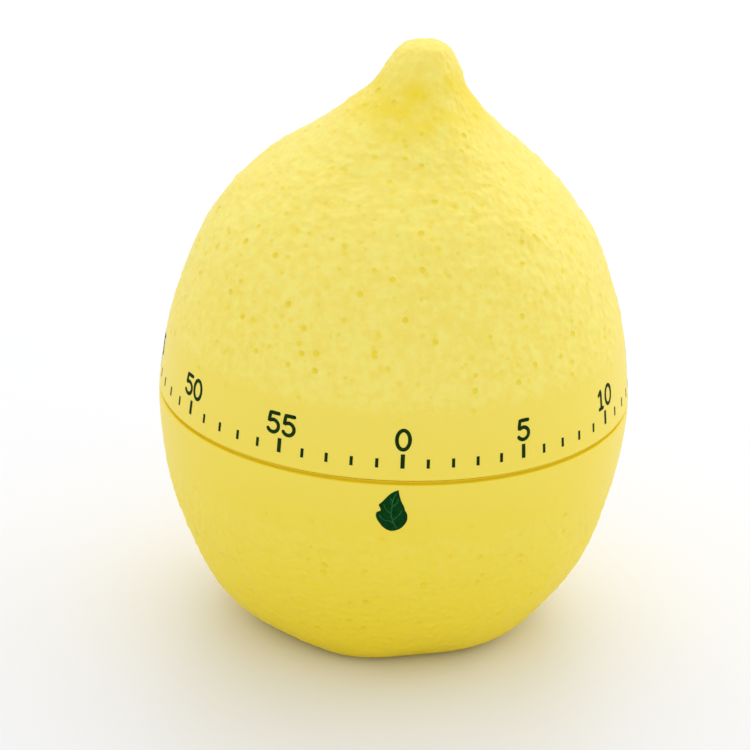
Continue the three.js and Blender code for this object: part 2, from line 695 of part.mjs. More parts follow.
function hammerArm() {
  return cut(
    join(rod(trainArbor + 0.8, hammerArmBottom, hammerArmThickness, hammerAxis, 12),
      bar(hammerAxis, headAxis, 1.1, hammerArmBottom, hammerArmThickness),
      rod(1.2, hammerArmBottom, hammerArmThickness, headAxis, 12)),
    rod(trainArbor + seat, hammerArmBottom - 1, 3, hammerAxis, 10),
    rod(0.65, hammerArmBottom - 1, 3, headAxis, 10),
  );
}

function hammerHead() {
  const neckTop = hammerArmBottom + hammerArmThickness + 0.25;
  const shoulder = hammerArmBottom - seat;
  return turn([[0, headBottom], [hammerHeadRadius * 0.8, headBottom], [hammerHeadRadius, headBottom + 0.3],
    [hammerHeadRadius, shoulder - 0.2], [hammerHeadRadius * 0.85, shoulder], [0.5, shoulder], [0.5, neckTop],
    [0, neckTop]], 12);
}

// The alarm wheel kicks this finger, and the tail above meets the detent.
const fingerLine = directionOf(hammerAxis, secondAxis);
const fingerDistance = hammerAxis.distanceTo(secondAxis);
const tipClear = alarmWheel.radius + running;
const fingerLength = fingerDistance - tipClear + fingerBite;
const fingerOffset = toDegrees(Math.acos(
  (fingerDistance ** 2 + fingerLength ** 2 - tipClear ** 2) / (2 * fingerDistance * fingerLength),
)) + 3;

function hammerFinger() {
  const bottom = plateTop + 2;
  const tip = polar(fingerLength - 0.3, fingerLine + fingerOffset).add(hammerAxis);
  return cut(
    join(rod(trainArbor + 0.8, bottom, alarmWheel.thickness, hammerAxis, 12),
      bar(hammerAxis, tip, 0.6, bottom, alarmWheel.thickness)),
    rod(trainArbor + seat, bottom - 1, 3, hammerAxis, 10),
  );
}

function hammerTail() {
  const end = polar(hammerDistance * 0.2, directionOf(hammerAxis, detentAxis)).add(hammerAxis);
  return cut(
    join(rod(trainArbor + 0.8, camBottom, camThickness, hammerAxis, 12),
      bar(hammerAxis, end, 1, camBottom, camThickness)),
    rod(trainArbor + seat, camBottom - 1, 3, hammerAxis, 10),
  );
}

function bell() {
  const crown = bellRadius * 0.66;
  const shoulder = bellBottom + bellDepth * 0.28;
  const bore = bellScrew.shank + slip;
  const floor = bellBottom + bellWall;
  return turn([[bore, bellBottom], [crown, bellBottom], [bellRadius * 0.87, bellBottom + bellDepth * 0.11],
    [bellRadius * 0.94, shoulder], [bellRadius, bellRim], [bellInnerAt(bellRim), bellRim],
    [bellRadius * 0.94 - bellWall * 1.05, shoulder + 0.2],
    [bellRadius * 0.86 - bellWall * 0.6, floor + bellDepth * 0.1], [crown - bellWall * 0.4, floor],
    [bore, floor]], 30);
}

function bellPost() {
  const bottom = bellBottom + bellWall + seat;
  const tapped = bellScrew.shank + slip;
  const tappedTop = bellBottom + (plateBottom - bellBottom) * bellScrewGrip + running;
  const flange = bellPostRadius + 1.4;
  const flangeTop = plateBottom - seat;
  const cup = arborPivot + slip * 1.5;
  return turn([[0, tappedTop], [tapped, tappedTop], [tapped, bottom], [bellPostRadius, bottom],
    [bellPostRadius, flangeTop - 1], [flange, flangeTop - 1], [flange, flangeTop], [cup, flangeTop],
    [cup, flangeTop - 0.7], [0, flangeTop - 0.7]], 16);
}

// ---- The carrier that joins the dome to the winding arbor ----
function dialCarrier() {
  const hub = rod(arborNeck + hubWall, hubBottom, hubBelow + carrierThickness + hubAbove, middle, 20);
  const disc = rod(carrierDisc, carrierBottom, carrierThickness, middle, 28);
  const arms = carrierAngles.map((angle) => {
    const [from, to] = [carrierDisc * 0.7, carrierPitch].map((radius) => polar(radius, angle));
    return bar(from, to, carrierArm, carrierBottom, carrierThickness);
  });
  const boreRadius = arborNeck + slip * 0.75;
  const bore = trim(
    rod(boreRadius, hubBottom - 1, arborTop, middle, 16),
    new THREE.BoxGeometry(8, 8, bodyHeight).translate(arborFlat + slip * 0.75 - 4, 0, carrierBottom),
  );
  const holes = carrierAngles.map((angle) =>
    rod(carrierScrew.shank + slip, carrierBottom - 1, carrierThickness + 2, polar(carrierPitch, angle), 10));
  return cut(join(hub, disc, ...arms), bore, ...holes);
}

// ---- Assembly ----
add("lower_shell", lowerShell(), lemonPlastic);
add("base_cover", baseCover(), lemonPlastic);
addScrews("base_screw", coverScrew, coverScrewPitch, coverScrewAngles,
  coverInset + coverScrew.headHeight + seat, false, zincPlate);

add("bottom_plate", bottomPlate(), plateSteel);
add("top_plate", topPlateShape(), plateSteel);
pillarAngles.forEach((angle, i) => {
  add(`pillar_${i + 1}`, pillar(), brass, groupAt(polar(pillarPitch, angle)));
});
addScrews("plate_screw", pillarScrew, pillarPitch, pillarAngles, topFace + seat, true, turnedSteel);
addScrews("movement_screw", earScrew, earPitch, earAngles, topFace + seat, true, zincPlate);

add("main_arbor", mainArbor(), turnedSteel);
add("mainspring", mainspring(), springSteel);
add("spring_post", turn([[0, plateBottom + 0.1], [springPostRadius * 0.7, plateBottom + 0.1],
  [springPostRadius * 0.7, plateTop + seat], [springPostRadius, plateTop + seat],
  [springPostRadius, springBottom + springHeight], [0, springBottom + springHeight]], 10),
turnedSteel, groupAt(springPost));
add("great_wheel", trainWheel(greatWheel, greatBottom, 5, arborRadius + slip), brass);
add("clutch_washer", clutchWasher(), springSteel);
add("clutch_collar", extrude(ring(clutchCollarRadius, middle, 16), clutchBottom + clutchThickness + seat, 0.8,
  [ring(arborRadius + slip, middle, 16)]), turnedSteel);
add("zero_cam", zeroCam(), plateSteel);

const second = groupAt(secondAxis);
const secondPinionTurn = gapTowards(secondPinion, secondAxis, middle);
const secondPinionBottom = greatBottom - (secondPinion.length - greatWheel.thickness) / 2;
add("second_arbor", pinionArbor(secondPinion, greatWheel.module, secondPinionBottom), turnedSteel,
  groupAt(middle, secondPinionTurn, second));
add("second_wheel", trainWheel(secondWheel, secondBottom, 4, trainArbor + seat), brass,
  groupAt(middle, directionOf(secondAxis, thirdAxis), second));
// The hammer's finger points at a gap of the alarm wheel when it swings fully in.
const fingerIn = polar(fingerLength, fingerLine + fingerOffset - hammerSwing).add(hammerAxis);
const alarmTurn = directionOf(secondAxis, fingerIn) + 180 / alarmWheel.teeth;
add("alarm_wheel", extrude(pointedOutline(alarmWheel, 0.05), plateTop + 2, alarmWheel.thickness,
  [ring(trainArbor + seat, middle, 12)]), plateSteel, groupAt(middle, alarmTurn, second));

const third = groupAt(thirdAxis);
const thirdPinionBottom = secondBottom - (thirdPinion.length - secondWheel.thickness) / 2;
add("third_arbor", pinionArbor(thirdPinion, secondWheel.module, thirdPinionBottom), turnedSteel,
  groupAt(middle, gapTowards(thirdPinion, thirdAxis, secondAxis), third));
add("third_wheel", trainWheel(thirdWheel, thirdBottom, 4, trainArbor + seat), brass,
  groupAt(middle, directionOf(thirdAxis, escapeAxis), third));

const escape = groupAt(escapeAxis);
const escapePinionBottom = thirdBottom - (escapePinion.length - thirdWheel.thickness) / 2;
add("escape_arbor", pinionArbor(escapePinion, thirdWheel.module, escapePinionBottom), turnedSteel,
  groupAt(middle, gapTowards(escapePinion, escapeAxis, thirdAxis), escape));
const escapeTurn = directionOf(escapeAxis, balanceAxis) + palletHalfSpan + 270 / escapeWheel.teeth;
add("escape_wheel", extrude(pointedOutline(escapeWheel, 0.02), escapeBottom, escapeWheel.thickness,
  [ring(trainArbor + seat, middle, 12)]), brass, groupAt(middle, escapeTurn, escape));

const balance = groupAt(balanceAxis);
add("balance_staff", pinionArbor(null), turnedSteel, balance);
add("balance_wheel", balanceShape(), brass, balance);
add("pallet_fork", palletFork(), plateSteel, balance);

add("detent_lever", detentLever(), plateSteel);
add("detent_stud", detentStud(), turnedSteel, groupAt(detentAxis));
add("detent_spring", detentSpring(), springSteel);

add("hammer_arbor", hammerArbor(), turnedSteel, groupAt(hammerAxis));
add("hammer_arm", hammerArm(), springSteel);
add("hammer_head", hammerHead(), brass, groupAt(headAxis));
add("hammer_finger", hammerFinger(), plateSteel);
add("hammer_tail", hammerTail(), plateSteel);
add("bell", bell(), bellMetal);
add("bell_post", bellPost(), turnedSteel);
const bellFastener = screwShape(bellScrew, (plateBottom - bellBottom) * bellScrewGrip);
const bellScrewMesh = add("bell_screw", bellFastener, zincPlate);
bellScrewMesh.position.z = bellBottom - seat;
bellScrewMesh.rotation.x = Math.PI;

add("upper_shell", upperShell(), lemonPlastic);
add("dial_carrier", dialCarrier(), whitePlastic);
addScrews("carrier_screw", carrierScrew, carrierPitch, carrierAngles, carrierBottom - seat, false, zincPlate);

export default timer;
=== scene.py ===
# The looks of a lemon-shaped twist timer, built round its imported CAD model.
import math
import random

import bmesh
import bpy
import numpy as np
from mathutils import Matrix, Vector, noise


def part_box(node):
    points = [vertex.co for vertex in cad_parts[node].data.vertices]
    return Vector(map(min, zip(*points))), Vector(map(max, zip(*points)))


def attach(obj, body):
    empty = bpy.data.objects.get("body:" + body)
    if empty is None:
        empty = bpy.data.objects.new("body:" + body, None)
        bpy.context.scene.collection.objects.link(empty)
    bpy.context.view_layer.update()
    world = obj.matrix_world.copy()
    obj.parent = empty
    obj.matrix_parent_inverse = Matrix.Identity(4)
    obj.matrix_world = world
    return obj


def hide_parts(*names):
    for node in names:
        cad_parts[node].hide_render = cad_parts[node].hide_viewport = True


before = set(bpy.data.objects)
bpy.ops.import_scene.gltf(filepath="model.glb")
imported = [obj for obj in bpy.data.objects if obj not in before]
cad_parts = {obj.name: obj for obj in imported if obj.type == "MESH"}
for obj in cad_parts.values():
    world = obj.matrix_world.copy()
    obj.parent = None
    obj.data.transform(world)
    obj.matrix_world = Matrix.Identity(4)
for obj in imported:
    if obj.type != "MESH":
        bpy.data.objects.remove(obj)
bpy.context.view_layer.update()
mm = 0.001
print("frame loaded:", len(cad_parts), "nodes")


def span(node):
    # a CAD node's box in millimetres
    low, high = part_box(node)
    return np.array(low) / mm, np.array(high) / mm


# shapes


def smooth(value, low, high):
    # 0 below low, 1 above high, with an eased slope between them
    share = np.clip((np.asarray(value, float) - low) / (high - low), 0, 1)
    return share * share * (3 - 2 * share)


def curveThrough(points, perSpan):
    # an even-handed spline through the points, as lofting curves go
    points = np.asarray(points, float)
    ends = np.vstack([2 * points[0] - points[1], points, 2 * points[-1] - points[-2]])
    out = []
    for i in range(1, len(ends) - 2):
        before, start, end, after = ends[i - 1:i + 3]
        for step in range(perSpan):
            t = step / perSpan
            pull, push = (end - before) / 2, (after - start) / 2
            out.append(start + pull * t + (3 * (end - start) - 2 * pull - push) * t * t
                       + (2 * (start - end) + pull + push) * t ** 3)
    out.append(points[-1])
    return np.array(out)


def evenly(points, count):
    # the same line cut into equal lengths
    points = np.asarray(points, float)
    run = np.concatenate([[0], np.cumsum(np.linalg.norm(np.diff(points, axis=0), axis=1))])
    marks = np.linspace(0, run[-1], count)
    return np.column_stack([np.interp(marks, run, points[:, k]) for k in range(points.shape[1])])


def roundCorner(before, corner, after, radius, steps=4):
    # points that ease a corner of a profile
    before, corner, after = (np.array(p, float) for p in (before, corner, after))
    into = (before - corner) / np.linalg.norm(before - corner)
    out = (after - corner) / np.linalg.norm(after - corner)
    start, end = corner + into * radius, corner + out * radius
    shares = np.linspace(0, 1, steps + 1)[:, None]
    return list((1 - shares) ** 2 * start + 2 * shares * (1 - shares) * corner + shares ** 2 * end)


def turnedPoints(profile, columns):
    # rows of points, one row for each point of a profile of radius and height
    angles = np.arange(columns) * 2 * math.pi / columns
    radius, height = profile[:, 0][:, None], profile[:, 1][:, None]
    x, y = radius * np.sin(angles), -radius * np.cos(angles)
    return np.stack([x, y, np.repeat(height, columns, axis=1)], axis=2)


def gridFaces(rows, columns, loop, poles=()):
    # faces of a grid that closes round its columns; a pole row is one point
    index, count = [], 0
    for i in range(rows):
        index.append(np.full(columns, count) if i in poles else np.arange(columns) + count)
        count += 1 if i in poles else columns
    faces = []
    for i in range(rows if loop else rows - 1):
        low, high = index[i], index[(i + 1) % rows]
        lowNext, highNext = np.roll(low, -1), np.roll(high, -1)
        if i in poles:
            faces += np.stack([low, highNext, high], axis=1).tolist()
        elif i + 1 in poles:
            faces += np.stack([low, lowNext, high], axis=1).tolist()
        else:
            faces += np.stack([low, lowNext, highNext, high], axis=1).tolist()
    return faces


def addMesh(name, points, faces, finish, body):
    # points in millimetres; the piece rides on a CAD body
    mesh = bpy.data.meshes.new(name)
    mesh.from_pydata((np.asarray(points, float).reshape(-1, 3) * mm).tolist(), [], faces)
    shaper = bmesh.new()
    shaper.from_mesh(mesh)
    bmesh.ops.recalc_face_normals(shaper, faces=shaper.faces)
    shaper.to_mesh(mesh)
    shaper.free()
    mesh.polygons.foreach_set("use_smooth", [True] * len(mesh.polygons))
    piece = bpy.data.objects.new(name, mesh)
    bpy.context.scene.collection.objects.link(piece)
    piece.data.materials.append(finish)
    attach(piece, body)
    return piece


edges = {"segments": 2, "sharperThan": 35}


def softenEdges(piece, width):
    # small rounded edges that catch the light, on flat-sided pieces
    bevel = piece.modifiers.new("edge", "BEVEL")
    bevel.width = width * mm
    bevel.segments = edges["segments"]
    bevel.limit_method = "ANGLE"
    bevel.angle_limit = math.radians(edges["sharperThan"])
    bevel.harden_normals = True
    piece.data.polygons.foreach_set("use_smooth", [True] * len(piece.data.polygons))


def joinParts(parts):
    # several lists of points and faces as one
    points, faces, start = [], [], 0
    for some, these in parts:
        points.append(some)
        faces += [[i + start for i in face] for face in these]
        start += len(some)
    return np.vstack(points), faces


# shader groups shared by the materials


def newGroup(name, inputs, outputs):
    group = bpy.data.node_groups.new(name, "ShaderNodeTree")
    for label, kind, start in inputs:
        group.interface.new_socket(label, in_out="INPUT", socket_type=kind).default_value = start
    for label, kind in outputs:
        group.interface.new_socket(label, in_out="OUTPUT", socket_type=kind)
    start, end = group.nodes.new("NodeGroupInput"), group.nodes.new("NodeGroupOutput")
    start.location, end.location = (-900, 0), (700, 0)
    return group, start, end


def feed(tree, socket, value):
    # links a socket, or sets it to a plain value
    if isinstance(value, bpy.types.NodeSocket):
        tree.links.new(value, socket)
    else:
        socket.default_value = value


def addNode(tree, kind, place, settings=None, **inputs):
    # an input is named by its label, or as in0, in1 and so on by its place
    node = tree.nodes.new(kind)
    node.location = place
    for key, value in (settings or {}).items():
        setattr(node, key, value)
    for key, value in inputs.items():
        numbered = key.startswith("in") and key[2:].isdigit()
        feed(tree, node.inputs[int(key[2:]) if numbered else key], value)
    return node


def addMath(tree, operation, first, second, place, clamp=False):
    settings = {"operation": operation, "use_clamp": clamp}
    return addNode(tree, "ShaderNodeMath", place, settings, in0=first, in1=second).outputs[0]


def addRange(tree, value, fromLow, fromHigh, toLow, toHigh, place):
    node = addNode(tree, "ShaderNodeMapRange", place, {"interpolation_type": "SMOOTHSTEP"}, Value=value)
    limits = {"From Min": fromLow, "From Max": fromHigh, "To Min": toLow, "To Max": toHigh}
    for label, number in limits.items():
        feed(tree, node.inputs[label], number)
    return node.outputs[0]


def addMix(tree, share, first, second, place):
    # a mix of two colours, whose own sockets are the sixth and seventh
    node = addNode(tree, "ShaderNodeMix", place, {"data_type": "RGBA"}, in0=share, in6=first, in7=second)
    return node.outputs[2]


# shares and sizes of the peel's grain, which the peel finishes share
peelGrain = {
    "fineScale": 2600.0, "cloudScale": 90.0, "speckleScale": 750.0,
    "openPores": (0.35, 0.95), "poreEdge": (0.08, 0.26), "poreDepth": 1.1,
    "cellShare": 0.7, "fineShare": 0.25, "cloudShare": 0.35, "bandGrain": 0.12, "bandSpeckle": 0.2,
}


def makePeelGroup():
    # moulded citrus peel: leathery grain, round pores, cloudy colour, all fading out near the seam
    group, start, end = newGroup(
        "citrusPeel",
        [("Grain Scale", "NodeSocketFloat", 900.0), ("Pore Scale", "NodeSocketFloat", 420.0),
         ("Smooth Below", "NodeSocketFloat", 0.04), ("Rough Above", "NodeSocketFloat", 0.05)],
        [("Height", "NodeSocketFloat"), ("Pores", "NodeSocketFloat"), ("Clouds", "NodeSocketFloat"),
         ("Fade", "NodeSocketFloat")])
    place = addNode(group, "ShaderNodeTexCoord", (-1100, 300)).outputs["Object"]
    height = addNode(group, "ShaderNodeSeparateXYZ", (-900, 400), Vector=place).outputs["Z"]
    fade = addRange(group, height, start.outputs["Smooth Below"], start.outputs["Rough Above"], 0, 1,
                    (-600, 400))

    # round pores, some of them shallow
    pores = addNode(group, "ShaderNodeTexVoronoi", (-600, -250), Vector=place,
                    Scale=start.outputs["Pore Scale"], Randomness=1.0)
    chance = addNode(group, "ShaderNodeSeparateColor", (-400, -350), Color=pores.outputs["Color"])
    openness = addRange(group, chance.outputs["Red"], *peelGrain["openPores"], 0.0, 1.0, (-200, -350))
    hole = addRange(group, pores.outputs["Distance"], *peelGrain["poreEdge"], 1.0, 0.0, (-400, -200))
    pore = addMath(group, "MULTIPLY", hole, openness, (0, -250))
    pore = addMath(group, "MULTIPLY", pore, fade, (150, -250))

    # broad clouds of colour with finer speckle
    clouds = addNode(group, "ShaderNodeTexNoise", (-600, -500), Vector=place,
                     Scale=peelGrain["cloudScale"], Detail=4.0, Roughness=0.6)
    speckle = addNode(group, "ShaderNodeTexNoise", (-600, -700), Vector=place,
                      Scale=peelGrain["speckleScale"], Detail=3.0, Roughness=0.55)
    speckleFade = addMath(group, "MAXIMUM", fade, peelGrain["bandSpeckle"], (-400, -800))
    speckled = addMath(group, "MULTIPLY", speckle.outputs[0], speckleFade, (-300, -700))
    clouded = addMath(group, "MULTIPLY", clouds.outputs[0], peelGrain["cloudShare"], (-300, -500))
    mottle = addMath(group, "ADD", clouded, speckled, (-100, -600))

    # leathery grain, almost smooth in the printed band
    cells = addNode(group, "ShaderNodeTexVoronoi", (-600, 150), {"feature": "SMOOTH_F1"}, Vector=place,
                    Scale=start.outputs["Grain Scale"], Smoothness=0.4, Randomness=1.0)
    fine = addNode(group, "ShaderNodeTexNoise", (-600, -50), Vector=place, Scale=peelGrain["fineScale"],
                   Detail=2.0)
    coarse = addMath(group, "MULTIPLY", cells.outputs["Distance"], peelGrain["cellShare"], (-300, 150))
    finer = addMath(group, "MULTIPLY", fine.outputs[0], peelGrain["fineShare"], (-300, 0))
    grain = addMath(group, "ADD", coarse, finer, (-100, 100))
    grainFade = addMath(group, "MAXIMUM", fade, peelGrain["bandGrain"], (0, 300))
    grain = addMath(group, "MULTIPLY", grain, grainFade, (150, 100))
    sunk = addMath(group, "MULTIPLY", pore, peelGrain["poreDepth"], (300, -200))
    relief = addMath(group, "SUBTRACT", grain, sunk, (400, 0))
    for label, value in (("Height", relief), ("Pores", pore), ("Clouds", mottle), ("Fade", fade)):
        group.links.new(value, end.inputs[label])
    return group


def makeMetalGroup():
    # marks of making and handling on metal: fine lines one way and cloudy wear
    group, start, end = newGroup(
        "workedMetal",
        [("Line Scale", "NodeSocketFloat", 900.0), ("Stretch", "NodeSocketVector", (1.0, 14.0, 14.0)),
         ("Wear Scale", "NodeSocketFloat", 480.0), ("Wear Depth", "NodeSocketFloat", 0.3)],
        [("Lines", "NodeSocketFloat"), ("Wear", "NodeSocketFloat"), ("Height", "NodeSocketFloat")])
    place = addNode(group, "ShaderNodeTexCoord", (-1100, 300)).outputs["Object"]
    drawn = addNode(group, "ShaderNodeVectorMath", (-800, 200), {"operation": "MULTIPLY"},
                    in0=place, in1=start.outputs["Stretch"]).outputs[0]
    lines = addNode(group, "ShaderNodeTexNoise", (-500, 200), Vector=drawn,
                    Scale=start.outputs["Line Scale"], Detail=3.0, Roughness=0.65)
    wear = addNode(group, "ShaderNodeTexNoise", (-500, -100), Vector=place,
                   Scale=start.outputs["Wear Scale"], Detail=5.0, Roughness=0.6)
    worn = addRange(group, wear.outputs[0], 0.35, 0.7, 0.0, 1.0, (-200, -100))
    raised = addMath(group, "MULTIPLY", worn, start.outputs["Wear Depth"], (0, -100))
    height = addMath(group, "ADD", lines.outputs[0], raised, (200, 0))
    for label, value in (("Lines", lines.outputs[0]), ("Wear", worn), ("Height", height)):
        group.links.new(value, end.inputs[label])
    return group


peelGroup = makePeelGroup()
metalGroup = makeMetalGroup()


def srgb(red, green, blue):
    # a screen colour from 0 to 255 as the linear colour that a shader takes
    shares = (channel / 255 for channel in (red, green, blue))
    return tuple(((s + 0.055) / 1.055) ** 2.4 if s > 0.0404 else s / 12.92 for s in shares) + (1,)


def newFinish(name, settings):
    finish = bpy.data.materials.new(name)
    finish.use_nodes = True
    tree = finish.node_tree
    shader = tree.nodes["Principled BSDF"]
    for label, value in settings.items():
        shader.inputs[label].default_value = value
    return finish, tree, shader


def placeGroup(tree, group, place, **values):
    # a shared group in a material, with that material's own values
    node = tree.nodes.new("ShaderNodeGroup")
    node.node_tree = group
    node.location = place
    for label, value in values.items():
        node.inputs[label.replace("_", " ")].default_value = value
    return node


def addBump(tree, shader, height, strength, distance):
    bump = addNode(tree, "ShaderNodeBump", (-200, -300), Height=height)
    bump.inputs["Strength"].default_value = strength
    bump.inputs["Distance"].default_value = distance * mm
    tree.links.new(bump.outputs[0], shader.inputs["Normal"])


peel = {
    # foot is a painted-shade colour: the deeper yellow of the shaded lower body
    "pale": srgb(255, 239, 122), "deep": srgb(253, 231, 102), "foot": srgb(248, 222, 4),
    # pore is a painted-shade colour, laid in the pits, the pores, the grain's valleys and the seam ledge
    "pore": srgb(252, 224, 32), "valleyShade": 0.18, "valleyHeights": (0.42, 0.1),
    "footShadeFrom": -6.0, "footShadeTo": 58.0, "cloudRange": (0.48, 0.86), "roughness": (0.42, 0.56),
    "grain": 1000.0, "pores": 520.0, "grainDepth": 0.24, "grainStrength": 0.6,
}


def makeSkin(name, smoothBelow, roughAbove):
    # peel that is smooth at one height and fully grained at the other, in millimetres
    finish, tree, shader = newFinish(name, {
        "Specular IOR Level": 0.34, "Subsurface Weight": 0.12, "Subsurface Scale": 0.002,
        "Subsurface Radius": (1.0, 0.75, 0.2)})
    skin = placeGroup(tree, peelGroup, (-900, 0), Grain_Scale=peel["grain"], Pore_Scale=peel["pores"],
                      Smooth_Below=smoothBelow * mm, Rough_Above=roughAbove * mm)
    cloud = addRange(tree, skin.outputs["Clouds"], *peel["cloudRange"], 0.0, 1.0, (-650, 200))
    colour = addMix(tree, cloud, peel["deep"], peel["pale"], (-450, 200))
    # painted shade: the yellow deepens towards the foot, standing in for the shade and the warm floor bounce
    # on the lower body
    place = addNode(tree, "ShaderNodeTexCoord", (-1200, 600)).outputs["Object"]
    height = addNode(tree, "ShaderNodeSeparateXYZ", (-1000, 600), Vector=place).outputs["Z"]
    rise = addRange(tree, height, peel["footShadeFrom"] * mm, peel["footShadeTo"] * mm, 0.0, 1.0, (-800, 600))
    colour = addMix(tree, rise, peel["foot"], colour, (-350, 300))
    # painted shade: the yellow also deepens in the pits, the pores and the valleys of the grain
    pits = addNode(tree, "ShaderNodeAttribute", (-700, 400), {"attribute_name": "pitShade"}).outputs["Fac"]
    valleyShade = addRange(tree, skin.outputs["Height"], *peel["valleyHeights"], 0.0, peel["valleyShade"], (-600, 500))
    valleyShade = addMath(tree, "MULTIPLY", valleyShade, skin.outputs["Fade"], (-500, 500))
    sunk = addMath(tree, "MAXIMUM", pits, skin.outputs["Pores"], (-450, 400), clamp=True)
    sunk = addMath(tree, "ADD", sunk, valleyShade, (-350, 450), clamp=True)
    colour = addMix(tree, sunk, colour, peel["pore"], (-250, 200))
    tree.links.new(colour, shader.inputs["Base Color"])
    shine = addRange(tree, skin.outputs["Clouds"], *peel["cloudRange"], *peel["roughness"], (-450, 0))
    tree.links.new(shine, shader.inputs["Roughness"])
    addBump(tree, shader, skin.outputs["Height"], peel["grainStrength"], peel["grainDepth"])
    return finish


def makeMetal(name, bright, dull, roughness, stretch, depth=0.01):
    # worked metal, duller where it has been handled; stretch sets which way its lines run
    finish, tree, shader = newFinish(name, {"Metallic": 1.0})
    worked = placeGroup(tree, metalGroup, (-800, 0), Stretch=stretch)
    colour = addMix(tree, worked.outputs["Wear"], bright, dull, (-400, 200))
    tree.links.new(colour, shader.inputs["Base Color"])
    blend = addMath(tree, "MULTIPLY", worked.outputs["Lines"], worked.outputs["Wear"], (-600, 0))
    shine = addRange(tree, blend, 0.0, 0.6, *roughness, (-400, 0))
    tree.links.new(shine, shader.inputs["Roughness"])
    addBump(tree, shader, worked.outputs["Height"], 0.35, depth)
    return finish


def makeInk(name, dark, light, roughness):
    # printed ink: a little uneven where the pad lifted
    finish, tree, shader = newFinish(name, {"Specular IOR Level": 0.05})
    place = addNode(tree, "ShaderNodeTexCoord", (-1000, 0)).outputs["Object"]
    speck = addNode(tree, "ShaderNodeTexNoise", (-800, 0), Vector=place, Scale=1800.0, Detail=3.0)
    share = addRange(tree, speck.outputs[0], 0.35, 0.75, 0.0, 1.0, (-600, 0))
    colour = addMix(tree, share, dark, light, (-400, 100))
    tree.links.new(colour, shader.inputs["Base Color"])
    shine = addRange(tree, speck.outputs[0], 0.3, 0.7, *roughness, (-400, -100))
    tree.links.new(shine, shader.inputs["Roughness"])
    addBump(tree, shader, speck.outputs[0], 0.3, 0.01)
    return finish


def makePlastic(name, pale, deep, roughness):
    # plain moulded plastic with a faint texture
    finish, tree, shader = newFinish(name, {"Specular IOR Level": 0.5})
    place = addNode(tree, "ShaderNodeTexCoord", (-1000, 0)).outputs["Object"]
    clouds = addNode(tree, "ShaderNodeTexNoise", (-800, 150), Vector=place, Scale=140.0, Detail=5.0)
    grain = addNode(tree, "ShaderNodeTexNoise", (-800, -150), Vector=place, Scale=3500.0, Detail=2.0)
    share = addRange(tree, clouds.outputs[0], 0.3, 0.7, 0.0, 1.0, (-600, 150))
    colour = addMix(tree, share, deep, pale, (-400, 150))
    tree.links.new(colour, shader.inputs["Base Color"])
    shine = addRange(tree, clouds.outputs[0], 0.3, 0.7, *roughness, (-400, -50))
    tree.links.new(shine, shader.inputs["Roughness"])
    addBump(tree, shader, grain.outputs[0], 0.35, 0.015)
    return finish


seamZ = span("upper_shell")[0][2]
band = {"upper": (6, 11), "lower": (-4, -11)}  # heights from the seam where the peel starts and is full
skinUpper = makeSkin("peelUpper", *(seamZ + reach for reach in band["upper"]))
skinLower = makeSkin("peelLower", *(seamZ + reach for reach in band["lower"]))
inkGreen = makeInk("printGreen", srgb(16, 46, 8), srgb(30, 66, 16), (0.55, 0.7))
leafGreen = makeInk("leafGreen", srgb(3, 52, 12), srgb(4, 68, 24), (0.5, 0.65))
veinGreen = makeInk("veinGreen", srgb(26, 94, 40), srgb(44, 112, 56), (0.5, 0.65))
coverYellow = makePlastic("coverPlastic", srgb(244, 222, 84), srgb(238, 212, 66), (0.4, 0.55))
carrierWhite = makePlastic("carrierPlastic", srgb(236, 233, 222), srgb(222, 219, 206), (0.38, 0.55))
plateSteel = makeMetal("plateSteel", srgb(206, 209, 212), srgb(192, 195, 199), (0.26, 0.36), (1, 12, 12))
turnedSteel = makeMetal("turnedSteel", srgb(218, 220, 222), srgb(204, 206, 210), (0.16, 0.26), (1, 1, 20))
springSteel = makeMetal("springSteel", srgb(96, 108, 134), srgb(80, 88, 106), (0.22, 0.34), (1, 1, 16))
brass = makeMetal("pressedBrass", srgb(222, 188, 112), srgb(206, 168, 92), (0.24, 0.36), (10, 1, 10))
bellMetal = makeMetal("bellNickel", srgb(228, 228, 226), srgb(218, 217, 214), (0.1, 0.18), (1, 1, 18),
                      depth=0.005)
zincPlate = makeMetal("zincPlate", srgb(212, 212, 203), srgb(198, 197, 186), (0.24, 0.36), (1, 1, 8))
print("finishes made:", len(bpy.data.materials))


# the fruit's two halves

fruit = {
    "columns": 640, "domeRows": 290, "cupRows": 170, "lineSteps": 24, "wall": 2.0, "gap": 0.6,
    "lean": 2.2, "leanStart": 0.565, "rimEase": 0.28, "lipEase": 0.4, "innerEase": 0.2,
    "lobeHeight": 15.0, "lobes": [(7, 0.45, 20), (4, 0.3, 65)], "swell": 0.3, "swellReach": 9.0,
    "ledgeDepth": 0.75, "ledgeRise": 0.28, "lipStep": 0.8, "lipWidth": 1.0, "lipRound": 0.25,
    "footRing": 2.3, "footRound": 0.5, "cupBulge": 0.65, "coverGap": 0.3, "coverLedge": 2.8,
    "floorGap": 0.1, "floor": 1.8, "innerSteps": 18, "innerHigh": 27.0,
    "innerTop": 3.2, "innerRows": 26, "tipWall": 0.6,
}
